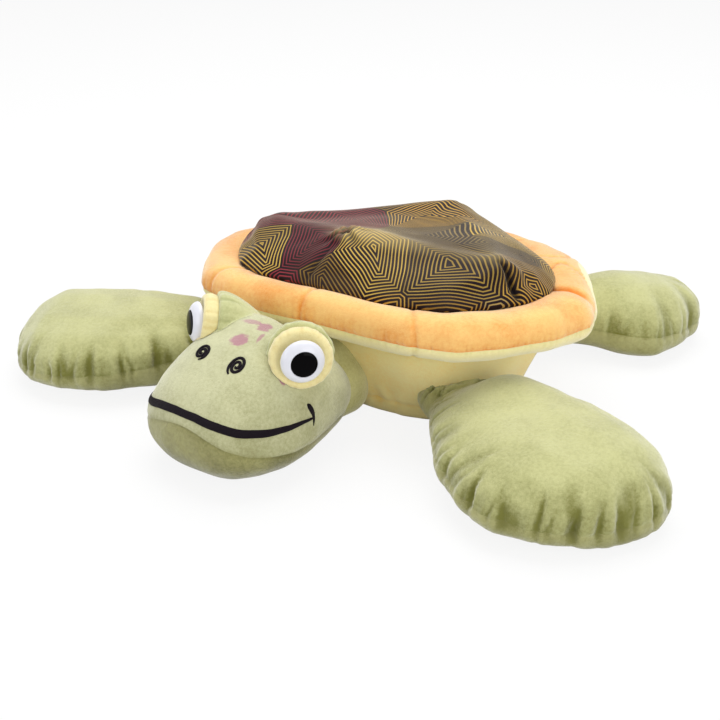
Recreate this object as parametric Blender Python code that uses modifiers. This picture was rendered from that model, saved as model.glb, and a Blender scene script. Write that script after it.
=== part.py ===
"""Plush sea turtle: stuffed body, domed shell with a padded rim, head with plastic eyes, four flippers.

Metres, +Z up. The turtle faces -Y and its own left side is +X. The origin is on the belly's flat
underside, which lies on the table at Z = 0. Each fabric cover is its own solid round its own filling.
"""

import math

import bmesh
import bpy
from mathutils import Matrix, Vector
from mathutils.bvhtree import BVHTree

# Fabric and fit
PLUSH = 0.0020  # short-pile plush with its backing
FIT_GAP = 0.0003  # between faces that are sewn, stuffed or seated against each other
MERGE_DISTANCE = 0.000003  # points closer together than this are one point
SEAM_GAP = 0.0004  # between the edges of two panels along a seam
SEAT_GAP = 0.0005  # between an eye mound and the round of the head that it is sewn to
OVERRUN = 0.010  # how far a cutter runs past what it cuts
SHARP_ANGLE = math.radians(50.0)  # edges that bend more than this are shaded sharp
REACH = 0.400  # half the side of a block that takes away one whole side of a piece

# Shell plan, seen from above
SHELL_HALF_WIDTH = 0.168
SHELL_FRONT = 0.117  # from the shell's middle to its front edge
SHELL_REAR = 0.125  # from the shell's middle to its tail edge
SHELL_MIDDLE_Y = 0.025
SHELL_COLUMNS = 28
# Half of the outline from nose to tail: share of the half width, share of the front or rear length
OUTLINE_SHARES = (
    (0.000, -0.985),
    (0.357, -1.000),
    (0.655, -0.915),
    (0.863, -0.600),
    (1.000, -0.200),
    (0.965, 0.100),
    (0.855, 0.350),
    (0.730, 0.600),
    (0.580, 0.800),
    (0.340, 0.950),
    (0.000, 1.000),
)

# Body: share of the shell plan, share of the wall's height
WALL_TOP_Z = 0.0690
BELLY_SEAM_Z = 0.0150
BELLY_SHARES = ((0.300, 0.0), (0.570, 0.0), (0.622, 0.065))
WALL_SHARES = ((0.645, 0.217), (0.690, 0.430), (0.742, 0.700), (0.775, 1.000))

# Padded rim: share of the shell plan, share of the rim's height, share of the lift towards the tail
RIM_HEIGHT = 0.0300  # from the top of the wall to the crown of the rim
RIM_SEAM_HEIGHT = 0.0130  # from the top of the wall to the seam round the outer edge
FRONT_LIFT = 0.0060  # how much the rim rises over the neck
REAR_DROP = 0.0050  # how much it droops over the tail
LEFT_LIFT = 0.0060  # how much it rises over the left flippers, and droops over the right ones
RIM_OUTER_SHARES = (
    (0.765, 0.000, 0.0),
    (0.850, -0.030, 0.3),
    (0.930, 0.000, 0.7),
    (0.985, 0.140, 1.0),
    (1.000, 0.360, 1.0),
    (0.990, 0.640, 1.0),
    (0.945, 0.910, 1.0),
    (0.875, 1.000, 1.0),
    (0.795, 0.900, 1.0),
)
RIM_INNER_SHARES = ((0.765, 0.760, 1.0), (0.748, 0.500, 0.7), (0.745, 0.000, 0.0))

# Shell dome: share of the shell plan, share of the dome's height above its seam on the rim
DOME_HEIGHT = 0.0310
DOME_SHARES = (
    (0.790, 0.000),
    (0.774, 0.200),
    (0.722, 0.420),
    (0.630, 0.620),
    (0.500, 0.780),
    (0.350, 0.900),
    (0.180, 0.970),
)
SHELL_FIT_SHARE = 0.006  # slack between the rim and the shell's filling
# Four dart tips stand up on the dome: share of the half width, share of the front or rear length
DART_TIP_SHARES = ((0.000, -0.470), (0.660, -0.370), (-0.660, -0.370), (0.000, 0.590))
DART_RISE = 0.0090
DART_SPREAD = 0.0220

# Neck: a short stuffed ball sewn between the body and the head
NECK_COLUMNS = 20
NECK_ROWS = 10
NECK_RADIUS = 0.0300
NECK_PLAY = 0.0008  # how much wider its seats are, so that its flat facets turn freely in theirs
NECK_X = -0.0060
NECK_Y = -0.0660
NECK_Z = 0.0325
NECK_BAND = 0.0215  # half the length of its cover, fore and aft

# Head, measured forwards from the middle of the neck
HEAD_YAW = math.radians(-4.0)
HEAD_LENGTH = 0.1480
HEAD_HALF_WIDTH = 0.0600
HEAD_HEIGHT = 0.0970
TABLE_FLAT = 0.0005  # what the table flattens off a rounded underside
JAW_SEAM_FRONT_Z = 0.0300
JAW_SEAM_BACK_Z = 0.0340
HEAD_RING = 20
# Share of the length, of the half width, of the height's top and of its underside
HEAD_SHARES = (
    (0.068, 0.45, 0.56, 0.10),
    (0.150, 0.62, 0.66, 0.05),
    (0.250, 0.76, 0.82, 0.03),
    (0.380, 0.90, 0.96, 0.01),
    (0.530, 0.99, 0.99, 0.00),
    (0.670, 1.00, 0.91, 0.00),
    (0.780, 0.94, 0.81, 0.01),
    (0.880, 0.83, 0.68, 0.06),
    (0.950, 0.63, 0.56, 0.14),
    (0.988, 0.32, 0.45, 0.23),
)
HEAD_SQUARENESS = 2.2

# Eyes, in the head's frame
EYE_SIDE = 0.0515
EYE_FORWARD = 0.0815
EYE_Z = 0.0870
EYE_SPLAY = math.radians(44.0)  # how far each eye turns out from straight ahead
EYE_RAISE = math.radians(12.0)
MOUND_COLUMNS = 16
MOUND_ROWS = 8
MOUND_RADIUS = 0.0245
MOUND_DEPTH = 0.0230
MOUND_BACK = 0.0170  # from the pad's face back to the mound's middle
PAD_RADIUS = 0.0225
PAD_DEPTH = 0.0060
PAD_FLAT_RADIUS = 0.0150
PAD_EDGE_SHARES = ((0.94, 0.65), (0.75, 0.28))
EYE_RADIUS = 0.0150
EYE_DOME = 0.0085
EYE_RIM = 0.0015
PUPIL_RADIUS = 0.0092
PUPIL_RECESS = 0.0010
PUPIL_DOME = 0.0017
DOME_STEPS = 4
SHANK_RADIUS = 0.0025
SHANK_LENGTH = 0.0120
SHANK_RIB = 0.0005
SHANK_RIBS = 3
WASHER_RADIUS = 0.0085
WASHER_THICKNESS = 0.0014
WASHER_BORE_GAP = 0.0003
WASHER_TEETH = 8
WASHER_TOOTH = 0.0012
EYE_STEPS = 16

# Mouth: a satin-stitched line round the muzzle, above the jaw seam
MOUTH_RADIUS = 0.0014
MOUTH_POINTS = 33
MOUTH_SWEEP = math.radians(94.0)  # how far round the muzzle it runs each way
MOUTH_Z = 0.0535
MOUTH_DROP = 0.0090  # from its middle down to its corners
MOUTH_CURVE = 1.6  # over 1, so that the line is level at its middle
MUZZLE_FORWARD = 0.0850  # the muzzle's middle, in front of the neck
NOSTRIL_SIDE = 0.0165
NOSTRIL_FORWARD = 0.1070
NOSTRIL_RADIUS = 0.0052
NOSTRIL_START_SHARE = 0.15  # where the spiral starts, as a share of its radius
NOSTRIL_THREAD = 0.0009
NOSTRIL_TURNS = 1.75
NOSTRIL_POINTS = 16

# Flippers
FLIPPER_RING = 16
ROOT_ARC_STEPS = 3
ROOT_SEAT_STEPS = 24
BLEND_SHARE = 0.38  # how much of the length it takes to turn from the hinge to the flipper's own width
FLIPPER_SQUARENESS = 2.3
# Share of the length, of the leading half width, of the trailing half width, of the fullness
FRONT_SHARES = (
    (0.06, 0.35, 0.62, 0.45),
    (0.20, 0.56, 0.84, 0.80),
    (0.36, 0.84, 0.95, 0.95),
    (0.54, 0.98, 0.98, 1.00),
    (0.71, 1.00, 1.00, 0.98),
    (0.85, 0.84, 0.95, 0.90),
    (0.94, 0.58, 0.74, 0.70),
    (0.985, 0.30, 0.42, 0.42),
)
REAR_SHARES = (
    (0.07, 0.38, 0.50, 0.42),
    (0.24, 0.46, 0.76, 0.70),
    (0.42, 0.82, 0.97, 0.95),
    (0.58, 1.00, 1.00, 1.00),
    (0.74, 0.92, 0.96, 0.97),
    (0.88, 0.66, 0.74, 0.82),
    (0.97, 0.34, 0.40, 0.48),
)
FRONT_FLIPPER = {
    "root_x": 0.0910,
    "root_y": -0.0380,
    "root_z": 0.0310,
    "root_radius": 0.0140,
    "root_half_width": 0.0300,
    "hinge_angle": math.radians(-133.0),
    "leading": 0.0875,
    "trailing": 0.0460,
    "crown": 0.0570,
    "tip_z": 0.0130,
    "shares": FRONT_SHARES,
}
REAR_FLIPPER = {
    "root_x": 0.0680,
    "root_y": 0.0970,
    "root_z": 0.0290,
    "root_radius": 0.0120,
    "root_half_width": 0.0210,
    "hinge_angle": math.radians(-37.0),
    "leading": 0.0540,
    "trailing": 0.0460,
    "crown": 0.0550,
    "tip_z": 0.0140,
    "shares": REAR_SHARES,
}
# How each flipper lies: its length as it is stuffed, and the way it points
FRONT_LEFT_LENGTH = 0.1860
FRONT_LEFT_YAW = math.radians(-18.0)
FRONT_RIGHT_LENGTH = 0.1980
FRONT_RIGHT_YAW = math.radians(-27.0)
REAR_LENGTH = 0.1740
REAR_YAW = math.radians(60.0)

# Tail
TAIL_LENGTH = 0.0420
TAIL_HALF_WIDTH = 0.0150
TAIL_Z = 0.0340
TAIL_HALF_HEIGHT = 0.0120
TAIL_DROP = 0.0100
TAIL_SINK = 0.0060
TAIL_SHARES = ((0.00, 1.00), (0.30, 0.90), (0.60, 0.66), (0.86, 0.34))
TAIL_RING = 12


for old in list(bpy.data.objects):
    bpy.data.objects.remove(old, do_unlink=True)
parts = bpy.data.collections.new("plush_turtle")
cutters = bpy.data.collections.new("cutters")
bpy.context.scene.collection.children.link(parts)
bpy.context.scene.collection.children.link(cutters)


def material(name, colour, roughness):
    """A plain finish from the photograph's colour."""
    made = bpy.data.materials.new(name)
    made.use_nodes = True
    shader = made.node_tree.nodes["Principled BSDF"]
    shader.inputs["Base Color"].default_value = (*colour, 1.0)
    shader.inputs["Roughness"].default_value = roughness
    shader.inputs["Metallic"].default_value = 0.0
    return made


PALE_GREEN = material("pale_green_plush", (0.56, 0.62, 0.33), 0.95)
OLIVE = material("olive_plush", (0.38, 0.43, 0.17), 0.95)
CREAM = material("cream_plush", (0.86, 0.74, 0.40), 0.95)
ORANGE = material("orange_plush", (0.88, 0.42, 0.14), 0.95)
SHELL_PRINT = material("shell_print", (0.07, 0.04, 0.05), 0.80)
FILLING = material("polyester_filling", (0.85, 0.85, 0.83), 1.00)
EYE_WHITE = material("white_plastic", (0.92, 0.92, 0.90), 0.15)
EYE_BLACK = material("black_plastic", (0.01, 0.01, 0.01), 0.08)
WASHER_PLASTIC = material("washer_plastic", (0.80, 0.80, 0.78), 0.40)
THREAD = material("dark_thread", (0.03, 0.015, 0.03), 0.60)


def object_of(name, mesh, finish):
    """A named sub-part with its own finish, shaded smooth except at its edges."""
    made = bpy.data.objects.new(name, mesh)
    parts.objects.link(made)
    made.data.materials.clear()
    made.data.materials.append(finish)
    made.data.shade_smooth()
    made.data.set_sharp_from_angle(angle=SHARP_ANGLE)
    return made


def cutter_of(name, mesh):
    """A helper solid that only cuts others."""
    made = bpy.data.objects.new(name, mesh)
    cutters.objects.link(made)
    made.hide_render = True
    made.display_type = "WIRE"
    return made


def boolean(target, cutter, operation="DIFFERENCE"):
    """Cuts the target with the cutter, or keeps only what lies inside it."""
    step = target.modifiers.new(cutter.name, "BOOLEAN")
    step.operation = operation
    step.object = cutter
    step.use_self = operation == "INTERSECT"
    return step


def thicken(target):
    """Turns a closed form into a skin of fabric, measured inwards."""
    skin = target.modifiers.new("fabric", "SOLIDIFY")
    skin.thickness = PLUSH
    skin.offset = -1.0
    skin.use_even_offset = True
    return skin


def mesh_from(form, name):
    """Closes a bmesh into a mesh with its faces pointing out."""
    bmesh.ops.remove_doubles(form, verts=form.verts, dist=MERGE_DISTANCE)
    bmesh.ops.recalc_face_normals(form, faces=form.faces)
    if form.calc_volume(signed=True) < 0.0:
        bmesh.ops.reverse_faces(form, faces=form.faces)
    mesh = bpy.data.meshes.new(name)
    form.to_mesh(mesh)
    form.free()
    return mesh


def loft(name, rings, start=None, end=None, closed=False, folded=False):
    """A closed surface through rings of points. It ends in a point at each end, or joins up as a ring.

    A folded form is made of triangles, so that a cover and its filling bend along the same lines.
    """
    form = bmesh.new()
    loops = [[form.verts.new(point) for point in ring] for ring in rings]
    pairs = list(zip(loops, loops[1:]))
    if closed:
        pairs.append((loops[-1], loops[0]))
    for lower, upper in pairs:
        for here in range(len(lower)):
            there = (here + 1) % len(lower)
            form.faces.new((lower[here], lower[there], upper[there], upper[here]))
    for pole, loop in ((start, loops[0]), (end, loops[-1])):
        if pole is None:
            continue
        tip = form.verts.new(pole)
        for here in range(len(loop)):
            form.faces.new((loop[here], loop[(here + 1) % len(loop)], tip))
    if folded:
        bmesh.ops.triangulate(form, faces=form.faces)
    return mesh_from(form, name)


def moved_in(mesh, distance, name):
    """A copy of a closed form with its whole surface moved inwards, or outwards if distance is negative."""
    form = bmesh.new()
    form.from_mesh(mesh)
    form.normal_update()
    shifts = [vertex.normal * distance * vertex.calc_shell_factor() for vertex in form.verts]
    for vertex, shift in zip(form.verts, shifts):
        vertex.co -= shift
    moved = bpy.data.meshes.new(name)
    form.to_mesh(moved)
    form.free()
    return moved


def block(name, point, towards):
    """A cutter that fills everything on one side of a plane."""
    form = bmesh.new()
    bmesh.ops.create_cube(form, size=2.0 * REACH)
    mesh = mesh_from(form, name)
    normal = Vector(towards).normalized()
    turn = normal.to_track_quat("Z", "Y").to_matrix().to_4x4()
    mesh.transform(Matrix.Translation(Vector(point) + normal * REACH) @ turn)
    return cutter_of(name, mesh)


def spline_loop(points, count):
    """Evenly numbered points on a smooth closed curve through the given ones."""
    total = len(points)
    found = []
    for number in range(count):
        along = number * total / count
        first = int(along)
        blend = along - first
        before, here, there, after = (points[(first + step) % total] for step in (-1, 0, 1, 2))
        found.append(
            0.5
            * (
                2.0 * here
                + (there - before) * blend
                + (2.0 * before - 5.0 * here + 4.0 * there - after) * blend**2
                + (3.0 * here - before - 3.0 * there + after) * blend**3
            )
        )
    return found


def superellipse(angle, squareness):
    """A point on a rounded square of half width and half height 1."""
    across, up = math.cos(angle), math.sin(angle)
    power = 2.0 / squareness
    return math.copysign(abs(across) ** power, across), math.copysign(abs(up) ** power, up)


# The body
def plan_point(across, along):
    """A place in the shell's plan, from its shares of the half width and of the front or rear length."""
    length = SHELL_FRONT if along < 0.0 else SHELL_REAR
    return Vector((across * SHELL_HALF_WIDTH, along * length, 0.0))


left_half = [plan_point(*share) for share in OUTLINE_SHARES]
right_half = [Vector((-point.x, point.y, 0.0)) for point in left_half[-2:0:-1]]
OUTLINE = spline_loop(left_half + right_half, SHELL_COLUMNS)
SHELL_MIDDLE = Vector((0.0, SHELL_MIDDLE_Y, 0.0))
LIFT_SLOPE = -(FRONT_LIFT + REAR_DROP) / (SHELL_FRONT + SHELL_REAR)
ROLL_SLOPE = LEFT_LIFT / SHELL_HALF_WIDTH


def level(share, height, lift=0.0):
    """The outline drawn in to a share of itself, at a height that may tip to the tail and the right."""
    ring = []
    for point in OUTLINE:
        place = SHELL_MIDDLE + point * share
        climb = FRONT_LIFT + LIFT_SLOPE * (place.y - SHELL_MIDDLE_Y + SHELL_FRONT) + ROLL_SLOPE * place.x
        ring.append(Vector((place.x, place.y, height + lift * climb)))
    return ring


torso_levels = [(share, height * WALL_TOP_Z) for share, height in BELLY_SHARES + WALL_SHARES]
torso_levels.append((WALL_SHARES[-1][0] / 2.0, WALL_TOP_Z))
torso_form = loft(
    "torso_form",
    [level(*place) for place in torso_levels],
    SHELL_MIDDLE,
    SHELL_MIDDLE + Vector((0.0, 0.0, WALL_TOP_Z)),
)
under_wall_top = block("under_wall_top", (0.0, 0.0, WALL_TOP_Z - PLUSH - FIT_GAP), (0.0, 0.0, -1.0))
under_belly_seam = block("under_belly_seam", (0.0, 0.0, BELLY_SEAM_Z - SEAM_GAP / 2.0), (0.0, 0.0, -1.0))
over_belly_seam = block("over_belly_seam", (0.0, 0.0, BELLY_SEAM_Z + SEAM_GAP / 2.0), (0.0, 0.0, 1.0))

belly_panel = object_of("belly_panel", torso_form.copy(), CREAM)
thicken(belly_panel)
boolean(belly_panel, under_belly_seam, "INTERSECT")
side_wall = object_of("side_wall", torso_form.copy(), CREAM)
thicken(side_wall)
boolean(side_wall, over_belly_seam, "INTERSECT")
boolean(side_wall, under_wall_top, "INTERSECT")
body_stuffing = object_of("body_stuffing", moved_in(torso_form, PLUSH + FIT_GAP, "body_stuffing"), FILLING)

# The rim and the shell
rim_base = WALL_TOP_Z - PLUSH
rim_levels = [
    (share, rim_base + height * RIM_HEIGHT, lift)
    for share, height, lift in RIM_OUTER_SHARES + RIM_INNER_SHARES
]
rim_form = loft("rim_form", [level(*place) for place in rim_levels], closed=True)
rim_seam = Vector((0.0, SHELL_MIDDLE_Y - SHELL_FRONT, rim_base + RIM_SEAM_HEIGHT + FRONT_LIFT))
rim_up = Vector((-ROLL_SLOPE, -LIFT_SLOPE, 1.0)).normalized()
over_rim_seam = block("over_rim_seam", rim_seam + rim_up * SEAM_GAP / 2.0, rim_up)
under_rim_seam = block("under_rim_seam", rim_seam - rim_up * SEAM_GAP / 2.0, -rim_up)
core_share = WALL_SHARES[-1][0]
core_levels = [(core_share, rim_base - OVERRUN), (core_share, rim_base + RIM_HEIGHT + FRONT_LIFT + OVERRUN)]
inside_rim = cutter_of(
    "inside_rim",
    loft(
        "inside_rim",
        [level(*place) for place in core_levels],
        SHELL_MIDDLE + Vector((0.0, 0.0, core_levels[0][1])),
        SHELL_MIDDLE + Vector((0.0, 0.0, core_levels[1][1])),
    ),
)
for name, side, finish in (("rim_top", over_rim_seam, ORANGE), ("rim_underside", under_rim_seam, CREAM)):
    panel = object_of(name, rim_form.copy(), finish)
    thicken(panel)
    boolean(panel, side, "INTERSECT")
    boolean(panel, inside_rim)
object_of("rim_padding", moved_in(rim_form, PLUSH + FIT_GAP, "rim_padding"), FILLING)

dome_base = rim_levels[len(RIM_OUTER_SHARES) - 1][1] + FIT_GAP
dart_tips = [SHELL_MIDDLE + plan_point(*share) for share in DART_TIP_SHARES]


def with_darts(ring):
    """Raises a ring of the dome where a dart's tip stands up."""
    raised = []
    for point in ring:
        climb = sum(
            DART_RISE * math.exp(-((point - tip).xy.length ** 2) / (2.0 * DART_SPREAD**2))
            for tip in dart_tips
        )
        raised.append(point + Vector((0.0, 0.0, climb)))
    return raised


shell_rings = [
    level(share - SHELL_FIT_SHARE, rim_base + height * RIM_HEIGHT + FIT_GAP, lift)
    for share, height, lift in reversed(RIM_INNER_SHARES)
]
dome_rings = [level(share, dome_base + height * DOME_HEIGHT, 1.0) for share, height in DOME_SHARES]
shell_rings += dome_rings[:2]
shell_rings += [with_darts(ring) for ring in dome_rings[2:]]
middle_climb = FRONT_LIFT + LIFT_SLOPE * SHELL_FRONT
shell_form = loft(
    "shell_form",
    shell_rings,
    SHELL_MIDDLE + Vector((0.0, 0.0, rim_base + FIT_GAP)),
    SHELL_MIDDLE + Vector((0.0, 0.0, dome_base + DOME_HEIGHT + middle_climb)),
)
dome_seat = Vector((0.0, SHELL_MIDDLE_Y - SHELL_FRONT, dome_base + FRONT_LIFT + FIT_GAP))
over_dome_seam = block("over_dome_seam", dome_seat, rim_up)
shell_cover = object_of("shell_cover", shell_form.copy(), SHELL_PRINT)
thicken(shell_cover)
boolean(shell_cover, over_dome_seam, "INTERSECT")
object_of("shell_stuffing", moved_in(shell_form, PLUSH + FIT_GAP, "shell_stuffing"), FILLING)


def pivot(name, place):
    """An empty on a joint's axis, which carries the pieces that move there."""
    made = bpy.data.objects.new(name, None)
    parts.objects.link(made)
    made.location = place
    return made


def carry(carrier, *pieces):
    """Parents pieces to an empty without moving them."""
    for piece in pieces:
        piece.parent = carrier
        piece.matrix_parent_inverse = Matrix.Translation(-carrier.location)


# The neck
NECK = Vector((NECK_X, NECK_Y, NECK_Z))


def neck_ball(name, radius):
    """A round solid about the neck's middle."""
    form = bmesh.new()
    bmesh.ops.create_uvsphere(form, u_segments=NECK_COLUMNS, v_segments=NECK_ROWS, radius=radius)
    bmesh.ops.translate(form, verts=form.verts, vec=NECK)
    return mesh_from(form, name)


neck_seat = cutter_of("neck_seat", neck_ball("neck_seat", NECK_RADIUS + NECK_PLAY))
for piece in (belly_panel, side_wall, body_stuffing):
    boolean(piece, neck_seat)
head_forward = Matrix.Rotation(HEAD_YAW, 3, "Z") @ Vector((0.0, -1.0, 0.0))
head_side = Matrix.Rotation(HEAD_YAW, 3, "Z") @ Vector((1.0, 0.0, 0.0))
behind_neck = block("behind_neck", NECK - head_forward * NECK_BAND, -head_forward)
before_neck = block("before_neck", NECK + head_forward * NECK_BAND, head_forward)
neck_cover = object_of("neck_cover", neck_ball("neck_cover", NECK_RADIUS), OLIVE)
thicken(neck_cover)
boolean(neck_cover, behind_neck)
boolean(neck_cover, before_neck)
neck_filling_radius = NECK_RADIUS - PLUSH - FIT_GAP
neck_stuffing = object_of("neck_stuffing", neck_ball("neck_stuffing", neck_filling_radius), FILLING)
neck_pivot = pivot("neck_pivot", NECK)
carry(neck_pivot, neck_cover, neck_stuffing)


# The head
def in_head(side, forward, height):
    """A place given by how far it is to the head's left and in front of the neck, and its height."""
    return NECK.xy.to_3d() + head_side * side + head_forward * forward + Vector((0.0, 0.0, height))


def jaw_seam_z(forward):
    """The height of the seam between the head and the jaw."""
    return JAW_SEAM_BACK_Z + (JAW_SEAM_FRONT_Z - JAW_SEAM_BACK_Z) * forward / HEAD_LENGTH


def head_ring(along, width, top, low):
    """One cross-section of the head, widest at the jaw seam."""
    forward = along * HEAD_LENGTH
    middle = jaw_seam_z(forward)
    rise = top * HEAD_HEIGHT - middle
    drop = middle - low * HEAD_HEIGHT + TABLE_FLAT
    ring = []
    for step in range(HEAD_RING):
        across, up = superellipse(math.tau * step / HEAD_RING, HEAD_SQUARENESS)
        height = middle + up * (rise if up > 0.0 else drop)
        ring.append(in_head(across * width * HEAD_HALF_WIDTH, forward, height))
    return ring


head_form = loft(
    "head_form",
    [head_ring(*share) for share in HEAD_SHARES],
    in_head(0.0, 0.0, jaw_seam_z(0.0)),
    in_head(0.0, HEAD_LENGTH, jaw_seam_z(HEAD_LENGTH)),
)
jaw_seam = in_head(0.0, 0.0, JAW_SEAM_BACK_Z)
seam_run = in_head(0.0, HEAD_LENGTH, JAW_SEAM_FRONT_Z) - jaw_seam
seam_up = head_side.cross(seam_run).normalized()
seam_up *= math.copysign(1.0, seam_up.z)
over_jaw_seam = block("over_jaw_seam", jaw_seam + seam_up * SEAM_GAP / 2.0, seam_up)
under_jaw_seam = block("under_jaw_seam", jaw_seam - seam_up * SEAM_GAP / 2.0, -seam_up)
under_table = block("under_table", (0.0, 0.0, 0.0), (0.0, 0.0, -1.0))
head_cover = object_of("head_cover", head_form.copy(), PALE_GREEN)
thicken(head_cover)
boolean(head_cover, over_jaw_seam, "INTERSECT")
boolean(head_cover, neck_seat)
jaw_cover = object_of("jaw_cover", head_form.copy(), OLIVE)
thicken(jaw_cover)
boolean(jaw_cover, under_jaw_seam, "INTERSECT")
boolean(jaw_cover, under_table)
boolean(jaw_cover, neck_seat)
head_stuffing = object_of("head_stuffing", moved_in(head_form, PLUSH + FIT_GAP, "head_stuffing"), FILLING)
boolean(head_stuffing, neck_seat)
head_pivot = pivot("head_pivot", NECK)
carry(head_pivot, head_cover, jaw_cover, head_stuffing)


# The eyes
def turned(name, profile, steps):
    """A solid turned about its own Z axis from a closed profile of (radius, height) points."""
    form = bmesh.new()
    points = [form.verts.new((radius, 0.0, height)) for radius, height in profile]
    edges = [form.edges.new(pair) for pair in zip(points, points[1:])]
    if profile[0][0] > 0.0:
        edges.append(form.edges.new((points[-1], points[0])))
    bmesh.ops.spin(
        form,
        geom=points + edges,
        axis=(0.0, 0.0, 1.0),
        cent=(0.0, 0.0, 0.0),
        angle=math.tau,
        steps=steps,
        use_merge=True,
    )
    return mesh_from(form, name)


def dome_profile(radius, height, base):
    """From the rim of a shallow dome up to its top on the axis."""
    found = []
    for step in range(DOME_STEPS + 1):
        angle = math.radians(90.0) * step / DOME_STEPS
        found.append((radius * math.cos(angle), base + height * math.sin(angle)))
    found[-1] = (0.0, found[-1][1])
    return found


def ribbed_shank():
    """The shank's outline from its tip up to the eye's back, with ribs that hold the washer."""
    pitch = SHANK_LENGTH / (SHANK_RIBS + 1)
    found = [(0.0, -SHANK_LENGTH), (SHANK_RADIUS - SHANK_RIB, -SHANK_LENGTH)]
    for rib in range(SHANK_RIBS):
        low = -SHANK_LENGTH + pitch * (rib + 0.5)
        found.append((SHANK_RADIUS, low))
        found.append((SHANK_RADIUS - SHANK_RIB, low + pitch * 0.5))
    found.append((SHANK_RADIUS - SHANK_RIB, 0.0))
    return found


def eye_frame(hand):
    """Where an eye sits: its Z axis points the way the eye looks, its origin is the pad's face."""
    level_axis = Matrix.Rotation(hand * EYE_SPLAY, 3, "Z") @ head_forward
    axis = (level_axis * math.cos(EYE_RAISE) + Vector((0.0, 0.0, math.sin(EYE_RAISE)))).normalized()
    turn = axis.to_track_quat("Z", "Y").to_matrix().to_4x4()
    return Matrix.Translation(in_head(hand * EYE_SIDE, EYE_FORWARD, EYE_Z)) @ turn


def placed(mesh, frame):
    """The mesh moved into a frame."""
    mesh.transform(frame)
    return mesh


def mound_form(name, slack):
    """The round of an eye mound, drawn in by the slack."""
    form = bmesh.new()
    bmesh.ops.create_uvsphere(form, u_segments=MOUND_COLUMNS, v_segments=MOUND_ROWS, radius=1.0)
    depth = MOUND_DEPTH - slack
    radius = MOUND_RADIUS - slack
    bmesh.ops.scale(form, verts=form.verts, vec=(radius, radius, depth))
    bmesh.ops.translate(form, verts=form.verts, vec=(0.0, 0.0, -MOUND_BACK))
    return mesh_from(form, name)


head_clearance = cutter_of("head_clearance", moved_in(head_form, -SEAT_GAP, "head_clearance"))
WASHER_TOP = -PAD_DEPTH - FIT_GAP


def toothed_washer(name):
    """A ring whose bore has slots cut round it, so that its tongues bite on the shank's ribs."""
    bore = SHANK_RADIUS + WASHER_BORE_GAP
    tongue = bore + WASHER_TOOTH
    profile = [
        (bore, WASHER_TOP - WASHER_THICKNESS),
        (WASHER_RADIUS, WASHER_TOP - WASHER_THICKNESS),
        (WASHER_RADIUS, WASHER_TOP),
        (bore, WASHER_TOP),
    ]
    form = bmesh.new()
    form.from_mesh(turned(name, profile, WASHER_TEETH * 2))
    for vertex in form.verts:
        spoke = round(math.atan2(vertex.co.y, vertex.co.x) / math.tau * WASHER_TEETH * 2)
        if vertex.co.xy.length < (bore + tongue) / 2.0 and spoke % 2:
            vertex.co.xy *= tongue / bore
    return mesh_from(form, name)


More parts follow.
